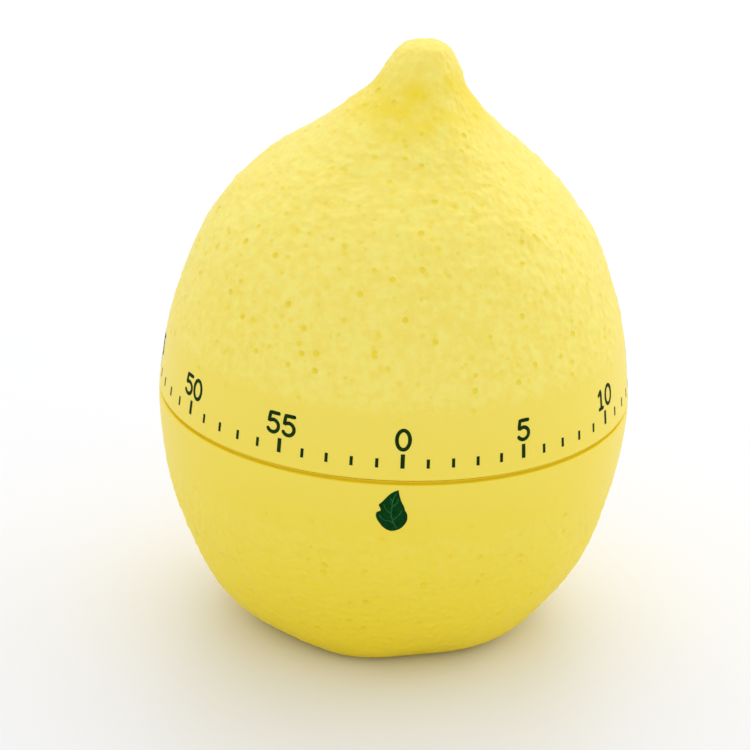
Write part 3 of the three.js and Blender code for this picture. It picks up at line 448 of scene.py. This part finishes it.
# the dome from rim to tip, as shares of the radius and of the height
domeOutline = [
    (1, 0), (0.969, 0.186), (0.911, 0.324), (0.822, 0.462), (0.686, 0.581), (0.554, 0.66),
    (0.437, 0.719), (0.329, 0.779), (0.212, 0.858), (0.157, 0.927), (0.095, 0.982), (0, 1),
]
cupLow, cupHigh = span("lower_shell")
coverLow, coverHigh = span("base_cover")
bodyRadius = (cupHigh[0] - cupLow[0]) / 2
tipZ = span("upper_shell")[1][2]
cupTop = seamZ - fruit["gap"]
leanFoot = seamZ + (tipZ - seamZ) * fruit["leanStart"]
coverRadius = (coverHigh[0] - coverLow[0]) / 2
footRadius = coverRadius + fruit["footRing"]
domePoints = [(r * bodyRadius, seamZ + h * (tipZ - seamZ)) for r, h in domeOutline]
domeLine = curveThrough(domePoints, fruit["lineSteps"])
cupHeights = cupTop * np.linspace(0, 1, 400) ** 1.6
cupShares = (1 - (1 - cupHeights / cupTop) ** 2) ** fruit["cupBulge"]
cupLine = np.column_stack([footRadius + (bodyRadius - footRadius) * cupShares, cupHeights])
for line in (domeLine, cupLine):
    # a slight swelling round the seam
    line[:, 0] += fruit["swell"] * np.exp(-((line[:, 1] - seamZ) / fruit["swellReach"]) ** 2)


def domeRadius(height):
    return np.interp(height, domeLine[:, 1], domeLine[:, 0])


def cupRadius(height):
    return np.interp(height, cupLine[:, 1], cupLine[:, 0])


def leanOver(points):
    # the tip stands a little to one side
    points[:, :, 0] += fruit["lean"] * smooth(points[:, :, 2], leanFoot, tipZ)


def lumpFoot(points):
    # shallow lobes round the foot, outside the cover's recess
    radius = np.hypot(points[:, :, 0], points[:, :, 1])
    angle = np.arctan2(points[:, :, 1], points[:, :, 0])
    fade = np.clip(1 - points[:, :, 2] / fruit["lobeHeight"], 0, 1) ** 2
    bump = sum(depth * np.cos(count * angle + math.radians(turn)) for count, depth, turn in fruit["lobes"])
    grown = np.where(radius > coverRadius + 2 * fruit["coverGap"], (radius + bump * fade) / radius, 1)
    points[:, :, 0] *= grown
    points[:, :, 1] *= grown


def surfaceNormals(points):
    # outward directions on a turned grid of points
    along = np.gradient(points, axis=0)
    around = np.roll(points, -1, axis=1) - np.roll(points, 1, axis=1)
    normal = np.cross(around, along)
    return normal / np.maximum(np.linalg.norm(normal, axis=2, keepdims=True), 1e-9)


def noiseAt(points, scale, shift=0.0):
    # soft noise at each point, about -1 to 1
    scaled = (points.reshape(-1, 3) / np.asarray(scale, float) + shift).tolist()
    return np.array([noise.noise(Vector(p)) for p in scaled]).reshape(points.shape[:2])


def cellsAt(points, size, shift=0.0):
    # distance to the nearest of scattered cell centres, about 0 to 1
    scaled = (points.reshape(-1, 3) / size + shift).tolist()
    return np.array([noise.voronoi(Vector(p))[0][0] for p in scaled]).reshape(points.shape[:2])


def scatterPores(line, count, low, high, seed, lean):
    # round pits on a turned surface, spread evenly by area between two heights
    chooser = random.Random(seed)
    rows = evenly(line[(line[:, 1] >= low) & (line[:, 1] <= high)], 200)
    weights = np.cumsum(rows[:, 0])
    smallest, growth = relief["poreRadius"]
    shallowest, deepening = relief["poreDepth"]
    out = []
    for _ in range(count):
        radius, height = rows[np.searchsorted(weights, chooser.random() * weights[-1])]
        angle = chooser.random() * 2 * math.pi
        place = [radius * math.sin(angle), -radius * math.cos(angle), height]
        if lean:
            place[0] += fruit["lean"] * float(smooth(height, leanFoot, tipZ))
        size = chooser.uniform(0.0, 1.0) ** 2
        out.append((place, smallest + growth * size, shallowest + deepening * chooser.random()))
    return out


def pressPores(points, pores):
    # depth of the round pits at each point
    depth = np.zeros(points.shape[:2])
    heights = points[:, 0, 2]
    ragged = 1 + relief["poreRagged"] * noiseAt(points, 0.6, 4.3)
    for place, radius, deep in pores:
        near = np.abs(heights - place[2]) < radius * 2
        gap = np.linalg.norm(points[near] - np.array(place), axis=2) * ragged[near]
        depth[near] = np.maximum(depth[near], deep * (1 - smooth(gap, radius * 0.25, radius)))
    return depth


relief = {
    "lump": 0.22, "cupLump": 1.3, "lumpSize": 9.0, "shoulder": 0.36, "shoulderSize": 4.6,
    "pebble": 0.2, "pebbleSize": 1.3, "fine": 0.1, "fineSize": 0.75, "calmShoulder": 0.4,
    "crease": 0.15, "creaseSize": (2.6, 2.6, 0.7), "pores": 620, "lowerPores": 60, "lowerDepth": 0.6,
    # the last value below is the pit depth at which the painted shade in a pit is full
    "poreRadius": (0.3, 0.32), "poreDepth": (0.06, 0.1), "poreRagged": 0.7, "fullShadeDepth": 0.22,
    # heights over which each effect comes in and goes out: above the seam, or below the tip or the cup's edge
    "domeBand": (7.6, 13.0), "cupBand": (5.5, 13.0), "footBand": (0.0, 2.5),
    "shoulderIn": (22, 29), "shoulderOut": (11, 7), "poresFrom": 12, "poresTo": 4,
    # the neck band and the value after it set the painted shade, a deeper yellow, round the nipple's neck
    "neckIn": (13, 8), "neckOut": (6, 2), "nippleNeckShade": 0.8,
    "lowerPoresFrom": 2.5, "lowerPoresTo": 11,
}


def belowTip(pair):
    return tipZ - pair[0], tipZ - pair[1]


def pebbles(points, shift):
    # leathery grain: small domes with soft valleys between them
    coarse = cellsAt(points, relief["pebbleSize"], shift)
    return relief["pebble"] * (coarse - 0.5) + relief["fine"] * noiseAt(points, relief["fineSize"], shift)


def domeRelief(points):
    # how far each point stands out, and how deep the painted shade of yellow is there, in the pits and round
    # the nipple's neck
    height = points[:, :, 2]
    fade = smooth(height - seamZ, *relief["domeBand"])
    shoulder = smooth(height - seamZ, *relief["shoulderIn"])
    shoulder = shoulder * (1 - smooth(height, *belowTip(relief["shoulderOut"])))
    lift = relief["lump"] * noiseAt(points, relief["lumpSize"], 3.1)
    lift += relief["shoulder"] * shoulder * noiseAt(points, relief["shoulderSize"], 7.7)
    lift += relief["crease"] * shoulder * noiseAt(points, relief["creaseSize"], 1.4)
    lift += pebbles(points, 5.0) * (1 - relief["calmShoulder"] * shoulder)
    low, high = seamZ + relief["poresFrom"], tipZ - relief["poresTo"]
    pits = pressPores(points, scatterPores(domeLine, relief["pores"], low, high, 11, True))
    # painted shade: a deeper yellow in the hollow neck under the nipple
    neck = smooth(height, *belowTip(relief["neckIn"])) * (1 - smooth(height, *belowTip(relief["neckOut"])))
    neckShadePatch = relief["nippleNeckShade"] * neck * (0.6 + 0.8 * noiseAt(points, 3.0, 8.8))
    return (lift - pits) * fade, np.clip(pits / relief["fullShadeDepth"] + neckShadePatch, 0, 1) * fade


def cupRelief(points):
    height = points[:, :, 2]
    fade = smooth(cupTop - height, *relief["cupBand"]) * smooth(height, *relief["footBand"])
    lift = relief["lump"] * relief["cupLump"] * noiseAt(points, relief["lumpSize"], 9.2)
    lift += pebbles(points, 2.0)
    low, high = relief["lowerPoresFrom"], cupTop - relief["lowerPoresTo"]
    pores = scatterPores(cupLine, relief["lowerPores"], low, high, 29, False)
    pits = relief["lowerDepth"] * pressPores(points, pores)
    # the second value is painted shade: a deeper yellow in the pits
    return (lift - pits) * fade, pits / relief["fullShadeDepth"] * fade


def markDepth(piece, depth):
    # keeps each point's depth of yellow, which is painted shade, with the piece, for its finish to read
    layer = piece.data.attributes.new("pitShade", "FLOAT", "POINT")
    layer.data.foreach_set("value", depth.astype(np.float32))


def makeDome():
    # the profile runs down the inside from its top, round the rim, and up the outside to the tip
    wall, rim, ease = fruit["wall"], seamZ, fruit["rimEase"]
    innerTop = tipZ - fruit["innerTop"]
    # the wall is thicker towards the tip
    inner = [(r - wall * (1 + fruit["tipWall"] * (h - rim) / (tipZ - rim)), h)
             for r, h in evenly(domeLine, fruit["innerRows"])]
    inner = [(max(r, 0.5), h) for r, h in inner if rim + 0.8 < h < innerTop - 0.4][::-1]
    rimInner, rimOuter = (bodyRadius - wall, rim), (domeRadius(rim), rim)
    outer = evenly(domeLine, fruit["domeRows"])
    outer = outer[outer[:, 1] > rim + ease]
    turn = roundCorner(inner[-1], rimInner, rimOuter, fruit["innerEase"])
    inside = np.array([(0, innerTop)] + inner + turn)
    edge = np.array(roundCorner(rimInner, rimOuter, outer[0], ease, 6))
    profile = np.vstack([inside, edge, outer])
    points = turnedPoints(profile, fruit["columns"])
    first = len(inside) + len(edge)
    skin = points[first:]
    lift, pits = domeRelief(skin)
    skin += surfaceNormals(skin) * lift[:, :, None]
    leanOver(points)
    # depth holds the painted shade: how deep the yellow goes at each point
    depth = np.zeros(points.shape[:2])
    depth[first:] = pits
    poles = (0, len(profile) - 1)
    listed = np.vstack([row[:1] if i in poles else row for i, row in enumerate(points)])
    shadeShares = np.concatenate([row[:1] if i in poles else row for i, row in enumerate(depth)])
    faces = gridFaces(len(profile), fruit["columns"], False, poles)
    dome = addMesh("domeShell", listed, faces, skinUpper, "dial")
    markDepth(dome, shadeShares)
    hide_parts("upper_shell")


def makeCup():
    # a closed ring of profile: outside up, seam ledge, lip, inside down, floor, recess, foot
    wall, ease = fruit["wall"], fruit["innerEase"]
    lipOuter = bodyRadius - wall - fruit["lipStep"]
    lipInner = lipOuter - fruit["lipWidth"]
    lipTop = cupHigh[2]
    floorZ, recess = coverHigh[2] + fruit["floorGap"], coverRadius + fruit["coverGap"]
    floorTop = floorZ + fruit["floor"]
    opening = coverRadius - fruit["coverLedge"]
    outer = evenly(cupLine, fruit["cupRows"])
    outer = outer[(outer[:, 1] > fruit["footRound"]) & (outer[:, 1] < cupTop - fruit["lipEase"])]
    foot = roundCorner((recess, 0), (footRadius, 0), outer[0], fruit["footRound"], 5)
    edge = float(cupRadius(cupTop))
    ledge, ledgeTop = edge - fruit["ledgeDepth"], cupTop + fruit["ledgeRise"]
    seam = roundCorner(outer[-1], (edge, cupTop), (ledge, cupTop), fruit["lipEase"], 6)
    seam += [(ledge, cupTop)] + roundCorner((ledge, cupTop), (ledge, ledgeTop), (lipOuter, ledgeTop), 0.12)
    lip = roundCorner((lipOuter, ledgeTop), (lipOuter, lipTop), (lipInner, lipTop), fruit["lipRound"])
    lip += roundCorner((lipOuter, lipTop), (lipInner, lipTop), (lipInner, cupTop), fruit["lipRound"])
    innerHeights = np.linspace(floorTop, fruit["innerHigh"], fruit["innerSteps"])
    inner = [(min(lipInner, cupRadius(h) - wall * 1.15), h) for h in innerHeights][::-1]
    under = [(opening, floorTop), (opening, floorZ), (recess, floorZ)]
    tail = roundCorner((recess, floorZ), (recess, 0), (footRadius, 0), ease)
    profile = np.array(foot + list(outer) + seam + [(lipOuter, ledgeTop)] + lip + inner + under + tail)
    points = turnedPoints(profile, fruit["columns"])
    first, last = len(foot), len(foot) + len(outer)
    skin = points[first:last]
    lift, pits = cupRelief(skin)
    skin += surfaceNormals(skin) * lift[:, :, None]
    # depth holds the painted shade: how deep the yellow goes at each point
    depth = np.zeros(points.shape[:2])
    depth[first:last] = pits
    depth[last + 4:last + len(seam) + 4] = 1  # painted shade: the ledge under the seam is a deeper yellow, for the shade in the groove
    lumpFoot(points[:last])
    cup = addMesh("cupShell", points, gridFaces(len(profile), fruit["columns"], True), skinLower, "base")
    markDepth(cup, depth.ravel())
    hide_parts("lower_shell")


makeDome()
makeCup()
print("fruit halves made")


# the screw bosses inside the two shells

bosses = {
    "sides": 28, "ease": 0.15, "slack": 0.2, "gap": 0.05,
    "domeRadius": 2.6, "domeTop": 20.0, "domeShank": 0.9,
    "earRadius": 1.8, "earDepth": 9.5, "earShank": 0.9, "webWidth": 2.5, "webReach": 1.2, "webStart": 0.7,
    "coverRadius": 2.3, "coverHeight": 3.2, "coverShank": 0.8,
}


def bossPost(centre, radius, bore, foot, top):
    # a hollow post, turned, with eased edges
    ring = [(bore, foot), (radius, foot), (radius, top), (bore, top)]
    profile = []
    for i, corner in enumerate(ring):
        profile += roundCorner(ring[i - 1], corner, ring[(i + 1) % len(ring)], bosses["ease"], 3)
    points = turnedPoints(np.array(profile), bosses["sides"]) + np.array([centre[0], centre[1], 0])
    return points.reshape(-1, 3), gridFaces(len(profile), bosses["sides"], True)


def bossWeb(centre, radius, foot, top):
    # a plate from the post's far side out into the shell's wall
    along = centre[:2] / np.linalg.norm(centre[:2])
    across = np.array([-along[1], along[0]]) * bosses["webWidth"] / 2
    near = centre[:2] + along * radius * bosses["webStart"]
    far = near + along * bosses["webReach"]
    outline = [near - across, far - across, far + across, near + across]
    points = [(*p, foot) for p in outline] + [(*p, top) for p in outline]
    faces = [[3, 2, 1, 0], [4, 5, 6, 7]] + [[i, (i + 1) % 4, 4 + (i + 1) % 4, 4 + i] for i in range(4)]
    return np.array(points), faces


def makeBosses(kind, screws, foot, top, finish, body, web=False):
    # one boss round each screw whose node's name starts as screws says
    radius, bore = bosses[kind + "Radius"], bosses[kind + "Shank"] + bosses["slack"]
    parts = []
    for screw in sorted(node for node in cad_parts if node.startswith(screws)):
        low, high = span(screw)
        centre = (low + high) / 2
        parts.append(bossPost(centre, radius, bore, foot, top))
        if web:
            parts.append(bossWeb(centre, radius, foot, top))
    piece = addMesh(kind + "Bosses", *joinParts(parts), finish, body)


carrierTop, topPlateLow = span("dial_carrier")[1][2], span("top_plate")[0][2]
coverBossFoot = coverHigh[2] + fruit["floorGap"]
makeBosses("dome", "carrier_screw", carrierTop + bosses["gap"], seamZ + bosses["domeTop"], skinUpper, "dial")
makeBosses("ear", "movement_screw", topPlateLow - bosses["earDepth"], topPlateLow - bosses["gap"],
           skinLower, "base", web=True)
makeBosses("cover", "base_screw", coverBossFoot, coverBossFoot + bosses["coverHeight"], skinLower, "base")
print("bosses made")


# the printed scale

scalePrint = {
    "minutes": 60, "step": 5, "tickBottom": 1.78, "longTick": (0.56, 1.95), "shortTick": (0.43, 1.26),
    "digitGap": 0.38, "digitHeight": 3.14, "digitWidth": 2.26, "digitPitch": 2.36, "stroke": 0.51,
    "lift": 0.016, "overlap": 0.003, "depth": 0.05, "corner": 0.12,
}


def arc(centre, radii, start, end, steps=14):
    angles = np.radians(np.linspace(start, end, steps))
    return [(centre[0] + radii[0] * math.cos(a), centre[1] + radii[1] * math.sin(a)) for a in angles]


# each digit's pen strokes, from -1 to 1 across and 0 to 1 up
digitStrokes = {
    "0": [arc((0, 0.5), (1, 0.5), 0, 360, 40)],
    "1": [[(-0.55, 0.76), (0.15, 1.0), (0.15, 0.0)], [(-0.42, 0.0), (0.7, 0.0)]],
    "2": [arc((0, 0.72), (0.92, 0.28), 165, -20, 16) + [(0.55, 0.42), (-0.95, 0.0), (0.98, 0.0)]],
    "3": [arc((-0.05, 0.75), (0.85, 0.25), 155, -75, 16), arc((-0.05, 0.27), (0.98, 0.27), 78, -155, 18)],
    "4": [[(0.98, 0.27), (-1.0, 0.27), (0.42, 1.0), (0.42, 0.0)]],
    "5": [[(0.85, 1.0), (-0.62, 1.0), (-0.78, 0.56)] + arc((-0.02, 0.32), (0.98, 0.32), 128, -148, 22)],
}


def wrapOn(radiusAt, start):
    # lays flat artwork on a shell: u runs along the rim from the zero mark, v up from the start height
    def place(u, v, lift):
        height, angle = start + v, u / bodyRadius
        radius = radiusAt(height) + lift
        return np.stack([radius * np.sin(angle), -radius * np.cos(angle), height], axis=-1)
    return place


onDome, onCup = wrapOn(domeRadius, seamZ), wrapOn(cupRadius, cupTop)


def ribbon(line, width, wrap, lift, roundEnds=True, closed=False):
    # a flat stroke of ink along a line, as a thin closed solid on the surface
    line = evenly(line, max(3, int(len(line) * 1.5))) if len(line) > 5 else evenly(line, 8)
    half = np.full(len(line), width / 2)
    if closed:
        line, half = line[:-1], half[:-1]
        heading = np.roll(line, -1, axis=0) - np.roll(line, 1, axis=0)
    else:
        if roundEnds:
            shares = np.array([0.98, 0.8, 0.45])
            into, out = line[0] - line[1], line[-1] - line[-2]
            into, out = into / np.linalg.norm(into), out / np.linalg.norm(out)
            line = np.vstack([line[0] + np.outer(shares, into) * width / 2, line,
                              line[-1] + np.outer(shares[::-1], out) * width / 2])
            caps = np.sqrt(1 - shares ** 2) * width / 2
            half = np.concatenate([caps, half, caps[::-1]])
        heading = np.gradient(line, axis=0)
    heading /= np.linalg.norm(heading, axis=1, keepdims=True)
    side = np.column_stack([-heading[:, 1], heading[:, 0]]) * half[:, None]
    left, right = line + side, line - side
    sunk = -scalePrint["depth"]
    corners = ((left, lift), (right, lift), (right, sunk), (left, sunk))
    points = np.stack([wrap(p[:, 0], p[:, 1], h) for p, h in corners], axis=1).reshape(-1, 3)
    count = len(line)
    faces = []
    for i in range(count if closed else count - 1):
        a, b = 4 * i, 4 * ((i + 1) % count)
        faces += [[a + k, a + (k + 1) % 4, b + (k + 1) % 4, b + k] for k in range(4)]
    if not closed:
        faces += [[0, 1, 2, 3], [4 * count - 1, 4 * count - 2, 4 * count - 3, 4 * count - 4]]
    return points, faces


def cornered(line):
    # extra points near each corner keep a stroke's width through the bend
    out = [line[0]]
    for before, corner, after in zip(line, line[1:], line[2:]):
        before, corner, after = np.array(before), np.array(corner), np.array(after)
        room = min(np.linalg.norm(before - corner), np.linalg.norm(after - corner)) / 2.2
        out += [tuple(p) for p in roundCorner(before, corner, after, min(scalePrint["corner"], room), 4)]
    return out + [line[-1]]


def makeNumeral(text, middle):
    # the strokes of one number, centred over its tick
    stroke = scalePrint["stroke"]
    foot = scalePrint["tickBottom"] + scalePrint["longTick"][1] + scalePrint["digitGap"] + stroke / 2
    tall = scalePrint["digitHeight"] - stroke
    wide = (scalePrint["digitWidth"] - stroke) / 2
    out = []
    for place, digit in enumerate(text):
        centre = middle + (place - (len(text) - 1) / 2) * scalePrint["digitPitch"]
        closed = digit == "0"
        for number, pen in enumerate(digitStrokes[digit]):
            line = [(centre + x * wide, foot + y * tall) for x, y in pen]
            if not closed and len(line) < 6:
                line = cornered(line)
            lift = scalePrint["lift"] + scalePrint["overlap"] * number
            out.append(ribbon(line, stroke, onDome, lift, True, closed))
    return out


def makeScale():
    pitch = 2 * math.pi * bodyRadius / scalePrint["minutes"]
    ticks, digits = [], []
    base = scalePrint["tickBottom"]
    for minute in range(scalePrint["minutes"]):
        long = minute % scalePrint["step"] == 0
        width, length = scalePrint["longTick" if long else "shortTick"]
        u = minute * pitch
        ticks.append(ribbon([(u, base), (u, base + length)], width, onDome, scalePrint["lift"], False))
        if long:
            digits += makeNumeral(str(minute), u)
    addMesh("scaleTicks", *joinParts(ticks), inkGreen, "dial")
    addMesh("scaleNumerals", *joinParts(digits), inkGreen, "dial")


makeScale()
print("scale printed")


# the leaf that points at the scale

leaf = {
    "centre": (-1.1, -4.1), "lift": 0.016, "rows": 110, "columns": 18,
    # both edges from the round foot up to the tip; the left one has a notch and a tooth
    "left": [(-0.1, -2.83), (-0.63, -2.64), (-1.16, -2.23), (-1.64, -1.64), (-2.01, -0.99), (-2.14, -0.52),
             (-2.06, -0.05), (-1.8, 0.12), (-1.53, 0.3), (-1.62, 0.71), (-1.8, 1.12), (-1.37, 1.59),
             (-0.95, 2.12), (-0.66, 2.48), (-0.26, 2.89), (0.22, 3.21), (0.68, 3.41)],
    "right": [(-0.02, -2.83), (0.44, -2.77), (1.07, -2.49), (1.55, -2.05), (1.93, -1.41), (2.06, -0.82),
              (1.98, -0.11), (1.73, 0.36), (1.52, 1.0), (1.15, 1.77), (0.9, 2.59), (0.72, 3.41)],
    "veins": [[(0.62, -2.35), (0.28, -1.6), (0.12, -1.17), (-0.1, -0.35), (-0.07, 0.83), (0.03, 1.89),
               (0.4, 2.8)],
              [(0.2, -1.5), (-0.4, -1.22), (-1.1, -1.12), (-1.69, -0.46)],
              [(0.1, -1.1), (0.7, -0.6), (1.07, -0.05), (1.22, 0.4)],
              [(-0.1, -0.1), (-0.8, 0.44), (-1.15, 1.24)], [(-0.06, 0.85), (0.5, 1.4), (0.72, 2.05)],
              [(0.0, 1.75), (-0.35, 2.2)]],
    "veinWidth": 0.13, "midrib": 1.25, "veinLift": 0.03, "overlap": 0.002, "depth": 0.05,
}


def leafEdge(side, v):
    edge = curveThrough(leaf[side], 6)
    return np.interp(v, edge[:, 1], edge[:, 0])


def makeLeafBlade():
    # a thin closed sheet between the two edges, from foot to tip
    rows, columns = leaf["rows"], leaf["columns"]
    v = np.linspace(leaf["left"][0][1], leaf["left"][-1][1], rows)
    left, right = leafEdge("left", v), leafEdge("right", v)
    share = np.linspace(0, 1, columns)
    u = left[:, None] * (1 - share) + right[:, None] * share + leaf["centre"][0]
    v = np.repeat(v[:, None], columns, axis=1) + leaf["centre"][1]
    top, bottom = onCup(u, v, leaf["lift"]).reshape(-1, 3), onCup(u, v, -leaf["depth"]).reshape(-1, 3)
    faces, under = [], rows * columns
    for i in range(rows - 1):
        for j in range(columns - 1):
            a = i * columns + j
            faces += [[a, a + 1, a + columns + 1, a + columns],
                      [under + a, under + a + columns, under + a + columns + 1, under + a + 1]]
    rim = [*range(columns)] + [i * columns + columns - 1 for i in range(1, rows)]
    rim += [(rows - 1) * columns + j for j in range(columns - 2, -1, -1)]
    rim += [i * columns for i in range(rows - 2, 0, -1)]
    faces += [[a, under + a, under + b, b] for a, b in zip(rim, rim[1:] + rim[:1])]
    addMesh("leafPointer", np.vstack([top, bottom]), faces, leafGreen, "base")


def makeLeafVeins():
    veins = []
    for number, line in enumerate(leaf["veins"]):
        vein = curveThrough(np.array(line) + leaf["centre"], 6)
        width = leaf["veinWidth"] * (leaf["midrib"] if number == 0 else 1)
        veins.append(ribbon(vein, width, onCup, leaf["veinLift"] + leaf["overlap"] * number))
    addMesh("leafVeins", *joinParts(veins), veinGreen, "base")


makeLeafBlade()
makeLeafVeins()
print("leaf printed")


# finishes and eased edges for the pieces that come from the CAD model

nodeFinishes = {
    "base_cover": coverYellow, "dial_carrier": carrierWhite, "bell": bellMetal,
    "bottom_plate": plateSteel, "top_plate": plateSteel, "zero_cam": plateSteel, "alarm_wheel": plateSteel,
    "pallet_fork": plateSteel, "detent_lever": plateSteel, "hammer_finger": plateSteel,
    "hammer_tail": plateSteel,
    "main_arbor": turnedSteel, "spring_post": turnedSteel, "clutch_collar": turnedSteel,
    "second_arbor": turnedSteel, "third_arbor": turnedSteel, "escape_arbor": turnedSteel,
    "balance_staff": turnedSteel, "detent_stud": turnedSteel, "hammer_arbor": turnedSteel,
    "bell_post": turnedSteel, "plate_screw": turnedSteel,
    "mainspring": springSteel, "clutch_washer": springSteel, "detent_spring": springSteel,
    "hammer_arm": springSteel,
    "great_wheel": brass, "second_wheel": brass, "third_wheel": brass, "escape_wheel": brass,
    "balance_wheel": brass, "hammer_head": brass, "pillar": brass,
    "bell_screw": zincPlate, "base_screw": zincPlate, "movement_screw": zincPlate, "carrier_screw": zincPlate,
}
easedEdges = {
    "base_cover": 0.2, "dial_carrier": 0.3, "bell": 0.12, "top_plate": 0.08, "bottom_plate": 0.08,
    "others": 0.05,
}


def finishNodes():
    # numbered pieces take the finish of their kind
    for name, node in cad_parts.items():
        if name in ("upper_shell", "lower_shell"):
            continue
        kind = name.rstrip("0123456789").rstrip("_")
        node.data.materials.clear()
        node.data.materials.append(nodeFinishes[kind])
        softenEdges(node, easedEdges.get(name, easedEdges["others"]))


finishNodes()
print("works finished")


# floor, lights and camera

studio = {
    "floor": (srgb(243, 244, 249), srgb(240, 241, 247)), "floorRadius": 4000.0, "floorSides": 96, "sky": 0.9,
    "distance": 520.0, "elevation": 22.9, "azimuth": -2.5, "roll": 2.35, "lens": 178.2, "sensor": 36,
    "aim": (-2.63, 1.52), "aimDrop": 0.3,  # where it looks: off the axis across the view, and below the rim
    # each light's name, place, the point it faces, its width and depth, and its power
    "lights": [
        ("topBack", (0, 480, 560), (0, 0, 40), (700, 500), 1.13),
        ("rightBack", (600, 350, 350), (0, 0, 40), (500, 500), 0.8),
        ("leftBack", (-600, 350, 350), (0, 0, 40), (500, 500), 0.14),
    ],
}


def makeFloor():
    # a round floor, far wider than the view
    radius, sides = studio["floorRadius"], studio["floorSides"]
    rim = [(radius * math.cos(a), radius * math.sin(a), 0) for a in np.arange(sides) * 2 * math.pi / sides]
    mesh = bpy.data.meshes.new("paleFloor")
    mesh.from_pydata([tuple(np.array(p) * mm) for p in rim], [], [list(range(sides))])
    floor = bpy.data.objects.new("paleFloor", mesh)
    bpy.context.scene.collection.objects.link(floor)
    finish, tree, shader = newFinish("paleFloor", {"Roughness": 0.4, "Specular IOR Level": 0.35})
    place = addNode(tree, "ShaderNodeTexCoord", (-900, 0)).outputs["Object"]
    tone = addNode(tree, "ShaderNodeTexNoise", (-700, 0), Vector=place, Scale=6.0, Detail=2.0)
    colour = addMix(tree, tone.outputs[0], *studio["floor"], (-400, 0))
    tree.links.new(colour, shader.inputs["Base Color"])
    mesh.materials.append(finish)


def addLight(name, place, target, size, power):
    lamp = bpy.data.lights.new(name, "AREA")
    lamp.shape = "RECTANGLE"
    lamp.size, lamp.size_y = size[0] * mm, size[1] * mm
    lamp.energy = power
    light = bpy.data.objects.new(name, lamp)
    light.location = Vector(place) * mm
    facing = Vector(target) * mm - light.location
    light.rotation_euler = facing.to_track_quat("-Z", "Y").to_euler()
    bpy.context.scene.collection.objects.link(light)


def makeStudio():
    makeFloor()
    world = bpy.context.scene.world or bpy.data.worlds.new("softRoom")
    bpy.context.scene.world = world
    world.use_nodes = True
    backdrop = world.node_tree.nodes["Background"]
    backdrop.inputs["Color"].default_value = (1.0, 1.0, 1.0, 1)
    backdrop.inputs["Strength"].default_value = studio["sky"]
    for light in studio["lights"]:
        addLight(*light)
    bpy.context.scene.view_settings.view_transform = "Standard"


def makeCamera():
    # looks down on the front, rolled a little
    turn, rise = math.radians(studio["azimuth"]), math.radians(studio["elevation"])
    back = Vector((math.sin(turn) * math.cos(rise), -math.cos(turn) * math.cos(rise), math.sin(rise)))
    right = Vector((math.cos(turn), math.sin(turn), 0))
    up = back.cross(right)
    roll = math.radians(studio["roll"])
    rightRolled = right * math.cos(roll) + up * math.sin(roll)
    upRolled = up * math.cos(roll) - right * math.sin(roll)
    aim = Vector((0, 0, seamZ - studio["aimDrop"]))
    aim += rightRolled * studio["aim"][0] + upRolled * studio["aim"][1]
    camera = bpy.data.objects.new("camera", bpy.data.cameras.new("camera"))
    camera.data.lens = studio["lens"]
    camera.data.sensor_width = studio["sensor"]
    camera.data.clip_start = 0.01
    place = Matrix((rightRolled, upRolled, back)).transposed().to_4x4()
    place.translation = (aim + back * studio["distance"]) * mm
    camera.matrix_world = place
    bpy.context.scene.collection.objects.link(camera)
    bpy.context.scene.camera = camera


makeStudio()
makeCamera()
print("studio set")
